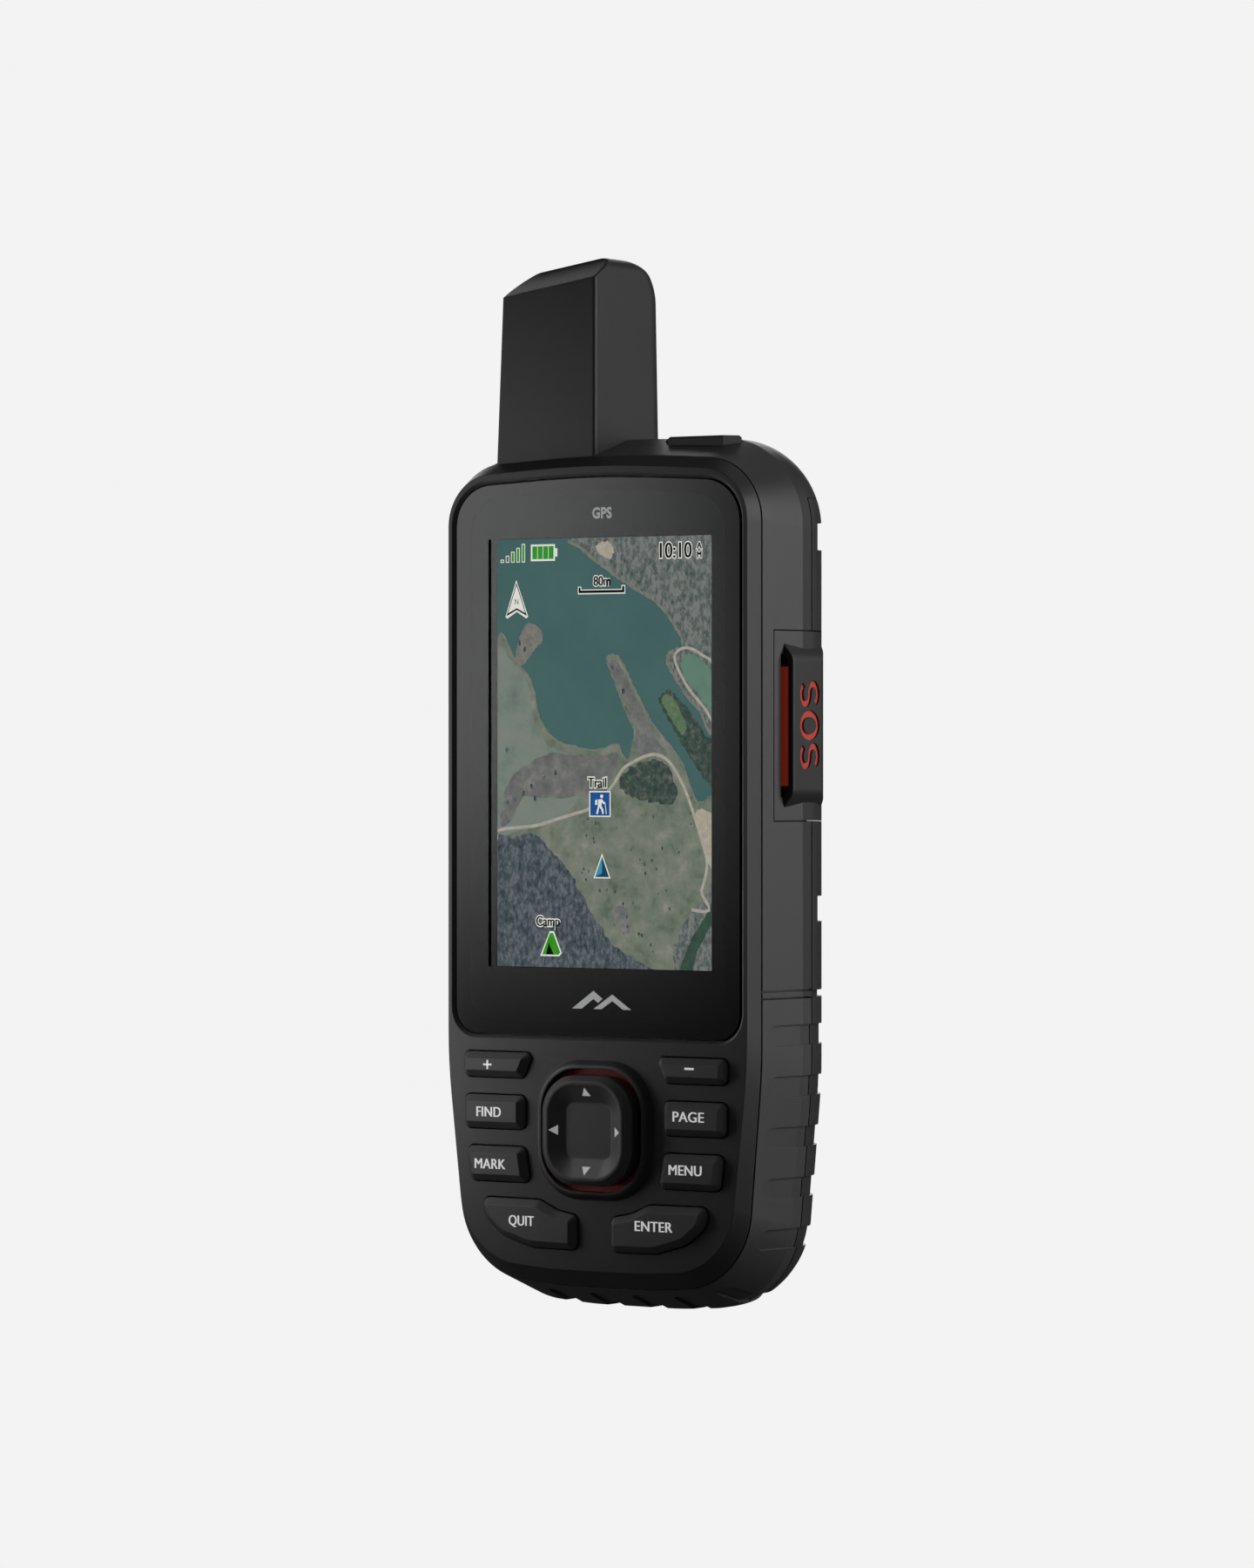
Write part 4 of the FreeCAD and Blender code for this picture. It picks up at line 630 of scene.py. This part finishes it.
# text, shift in x and z from the key's middle, width of the word
LABELS = {"find_key": ("FIND", -0.5, 0.0, 4.65), "page_key": ("PAGE", -0.6, 0.4, 5.7),
          "mark_key": ("MARK", -0.9, 0.0, 5.85), "menu_key": ("MENU", -0.5, 0.33, 6.0),
          "quit_key": ("QUIT", -0.9, 0.3, 4.75), "enter_key": ("ENTER", -0.35, 0.55, 6.9)}
for key, (text, shift_x, shift_z, width) in LABELS.items():
    low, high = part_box(key)
    x = (low[0] + high[0]) / 2 / MM + shift_x
    z = (low[2] + high[2]) / 2 / MM + shift_z
    lettering(key + "_label", text, 1.56, (x, z), low[1] / MM - 0.012, label, key,
              1.0, 0.0, 0.01, 1.04, width - 0.1, 0.06)


def bar_label(name, body, bars, shift):
    low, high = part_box(body)
    cx, cz = (low[0] + high[0]) / 2 / MM + shift[0], (low[2] + high[2]) / 2 / MM + shift[1]
    for i, (x0, z0, x1, z1) in enumerate(bars):
        y0 = low[1] / MM - 0.012
        verts = [mm(cx + x, y0, cz + z) for x, z in ((x0, z0), (x1, z0), (x1, z1), (x0, z1))]
        make_object("%s_%d" % (name, i), verts, [(0, 1, 2, 3)], label, body)


bar_label("plus_mark", "zoom_in_key", [(-0.8, -0.15, 0.8, 0.15), (-0.16, -0.72, 0.16, 0.72)], (-1.2, 0.0))
bar_label("minus_mark", "zoom_out_key", [(-0.85, -0.17, 0.85, 0.17)], (0.0, 0.4))

PAD_LOW, PAD_HIGH = [[c / MM for c in corner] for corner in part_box("thumb_pad")]
PAD_Z = (PAD_LOW[2] + PAD_HIGH[2]) / 2
DISH_X, DISH_Z = (4.2, 6.7), (4.3, 7.2)      # half sizes of the dish's floor and of its opening
DISH_DEEP = 1.5


def dish_y(x, z):
    """Height of the pad's dish slope under a point measured from the pad's middle."""
    down = min((DISH_X[1] - abs(x)) / (DISH_X[1] - DISH_X[0]),
               (DISH_Z[1] - abs(z)) / (DISH_Z[1] - DISH_Z[0]))
    return PAD_LOW[1] + DISH_DEEP * min(1.0, max(0.0, down)) - 0.03


ARROW = [(0.0, 0.7), (-0.78, -0.6), (0.78, -0.6)]
for name, (cx, cz), (dx, dz) in (("up", (0, 6.0), (0, 1)), ("down", (0, -6.1), (0, -1)),
                                 ("left", (-5.85, 0), (-1, 0)), ("right", (5.85, 0), (1, 0))):
    points = [(cx + a * dz + b * dx, cz - a * dx + b * dz) for a, b in ARROW]
    verts = [mm(x, dish_y(x, z), PAD_Z + z) for x, z in points]
    make_object("pad_arrow_" + name, verts, [(0, 1, 2)], arrow_grey, "thumb_pad")

# ---- camera --------------------------------------------------------------------------------------
AZIMUTH = math.radians(33.4)
FOCAL = 6800.0
FRONT_PLANE = 913.6
eye_distance = FRONT_PLANE - FACE_Y * math.cos(AZIMUTH)
axis_u = 684.1 + FOCAL * (-FACE_Y) * math.sin(AZIMUTH) / eye_distance
camera_data = bpy.data.cameras.new("photo_camera")
camera_data.sensor_fit = "VERTICAL"
camera_data.sensor_height = 36.0
camera_data.lens = FOCAL / 1800.0 * 36.0
camera_data.clip_start = 0.05
camera_data.clip_end = 50.0
camera_data.shift_x = (720.0 - axis_u) / 1800.0
camera_data.shift_y = (864.3 - 900.0) / 1800.0
camera = bpy.data.objects.new("photo_camera", camera_data)
camera.location = (eye_distance * MM * math.sin(AZIMUTH), -eye_distance * MM * math.cos(AZIMUTH), 0.0863)
camera.rotation_euler = (math.radians(90), 0, AZIMUTH)
scene.collection.objects.link(camera)
scene.camera = camera

# ---- stage and lights ----------------------------------------------------------------------------
scene.view_settings.view_transform = "Standard"
scene.view_settings.look = "None"


def stage_material(name, level):
    mat, tree, shader = new_material(name)
    paper = noise(tree, 3.0, 2.0)
    tone = ramp(tree, paper.outputs["Fac"], [(0.3, grey(level * 0.998)), (0.7, grey(level))])
    tree.links.new(tone.outputs["Color"], shader.inputs["Emission Color"])
    shader.inputs["Emission Strength"].default_value = 1.0
    shader.inputs["Base Color"].default_value = (0, 0, 0, 1)
    shader.inputs["Specular IOR Level"].default_value = 0.0
    shader.inputs["Roughness"].default_value = 1.0
    return mat


def stage_object(name, verts, faces, mat):
    mesh = bpy.data.meshes.new(name)
    mesh.from_pydata(verts, [], faces)
    obj = bpy.data.objects.new(name, mesh)
    scene.collection.objects.link(obj)
    mesh.materials.append(mat)
    for flag in ("visible_diffuse", "visible_glossy", "visible_transmission", "visible_shadow"):
        setattr(obj, flag, False)
    return obj


paper_mat = stage_material("pale_paper", 0.896)
floor_half = 4.0
stage_object("pale_floor", [(-floor_half, -floor_half, -0.0006), (floor_half, -floor_half, -0.0006),
                            (floor_half, floor_half, -0.0006), (-floor_half, floor_half, -0.0006)],
             [(0, 1, 2, 3)], paper_mat)
RING = 48
walls = []
for height in (-0.001, 5.0):
    walls += [(3.9 * math.cos(2 * math.pi * i / RING), 3.9 * math.sin(2 * math.pi * i / RING), height)
              for i in range(RING)]
faces = [(i, (i + 1) % RING, RING + (i + 1) % RING, RING + i) for i in range(RING)]
faces.append(tuple(range(RING, 2 * RING)))
stage_object("pale_backdrop", walls, faces, paper_mat)

world = bpy.data.worlds.new("studio")
world.use_nodes = True
world.node_tree.nodes["Background"].inputs["Color"].default_value = (1, 1, 1, 1)
world.node_tree.nodes["Background"].inputs["Strength"].default_value = 0.05
scene.world = world


def area(name, location, target, size, power, tint=(1, 1, 1)):
    data = bpy.data.lights.new(name, "AREA")
    data.shape = "RECTANGLE"
    data.size, data.size_y = size
    data.energy = power
    data.color = tint
    obj = bpy.data.objects.new(name, data)
    obj.location = location
    direction = Vector(target) - Vector(location)
    obj.rotation_euler = direction.to_track_quat("-Z", "Y").to_euler()
    obj.visible_camera = False
    scene.collection.objects.link(obj)
    return obj


area("right_softbox", (0.70, 0.28, 0.30), (0.02, 0, 0.09), (0.5, 0.6), 3.9)
area("top_softbox", (0.1, 0.35, 0.85), (0, 0, 0.1), (0.5, 0.5), 0.3)
area("rear_softbox", (-0.55, 0.75, 0.35), (0, 0, 0.08), (0.6, 0.6), 3.0)


def card(name, distance, centre, half_w, half_h, level, floor_level, fade_u, fade_v):
    """A glowing card across the direction that the front face mirrors towards the camera;
    its light fades to one side
    (fade_u) and downwards (fade_v), both in metres from the card's middle."""
    mat, tree, shader = new_material(name)
    coords = add(tree, "ShaderNodeTexCoord")
    split = add(tree, "ShaderNodeSeparateXYZ")
    tree.links.new(coords.outputs["Object"], split.inputs["Vector"])
    fades = []
    for axis, (dark, bright) in (("X", fade_u), ("Y", fade_v)):
        fade = add(tree, "ShaderNodeMapRange", interpolation_type="SMOOTHSTEP")
        fade.inputs["From Min"].default_value = min(dark, bright)
        fade.inputs["From Max"].default_value = max(dark, bright)
        fade.inputs["To Min"].default_value = 1.0 if dark > bright else 0.0
        fade.inputs["To Max"].default_value = 0.0 if dark > bright else 1.0
        tree.links.new(split.outputs[axis], fade.inputs["Value"])
        fades.append(fade)
    both = add(tree, "ShaderNodeMath", operation="MULTIPLY")
    tree.links.new(fades[0].outputs["Result"], both.inputs[0])
    tree.links.new(fades[1].outputs["Result"], both.inputs[1])
    tree.links.new(spread(tree, both.outputs[0], floor_level, level), shader.inputs["Emission Strength"])
    shader.inputs["Emission Color"].default_value = (1, 1, 1, 1)
    shader.inputs["Base Color"].default_value = (0, 0, 0, 1)
    mesh = bpy.data.meshes.new(name)
    mesh.from_pydata([(-half_w, -half_h, 0), (half_w, -half_h, 0), (half_w, half_h, 0),
                      (-half_w, half_h, 0)], [],
                     [(0, 1, 2, 3)])
    obj = bpy.data.objects.new(name, mesh)
    right = Vector((math.cos(AZIMUTH), -math.sin(AZIMUTH), 0))
    away = Vector((-math.sin(AZIMUTH), -math.cos(AZIMUTH), 0))
    obj.location = away * distance + right * centre[0] + Vector((0, 0, centre[1]))
    obj.rotation_euler = (math.radians(90), 0, -AZIMUTH)
    mesh.materials.append(mat)
    obj.visible_camera = False
    obj.visible_shadow = False
    scene.collection.objects.link(obj)
    return obj


card("front_left_card", 0.10, (-0.02, 0.075), 0.09, 0.085, 1.06, 0.01, (0.070, 0.005), (-0.05, 0.03))


def strip(name, centre, target, half_w, half_h, level):
    """A small even light close to the unit."""
    mat, tree, shader = new_material(name)
    flicker = noise(tree, 20.0, 1.0)
    tree.links.new(spread(tree, flicker.outputs["Fac"], level * 0.97, level),
                   shader.inputs["Emission Strength"])
    shader.inputs["Emission Color"].default_value = (1, 1, 1, 1)
    shader.inputs["Base Color"].default_value = (0, 0, 0, 1)
    mesh = bpy.data.meshes.new(name)
    mesh.from_pydata([(-half_w, -half_h, 0), (half_w, -half_h, 0), (half_w, half_h, 0),
                      (-half_w, half_h, 0)], [],
                     [(0, 1, 2, 3)])
    obj = bpy.data.objects.new(name, mesh)
    obj.location = centre
    obj.rotation_euler = (Vector(target) - Vector(centre)).to_track_quat("Z", "Y").to_euler()
    mesh.materials.append(mat)
    obj.visible_camera = False
    obj.visible_shadow = False
    scene.collection.objects.link(obj)
    return obj


strip("left_edge_strip", (-0.078, -0.058, 0.05), (-0.01, -0.01335, 0.05), 0.012, 0.04, 4.5)
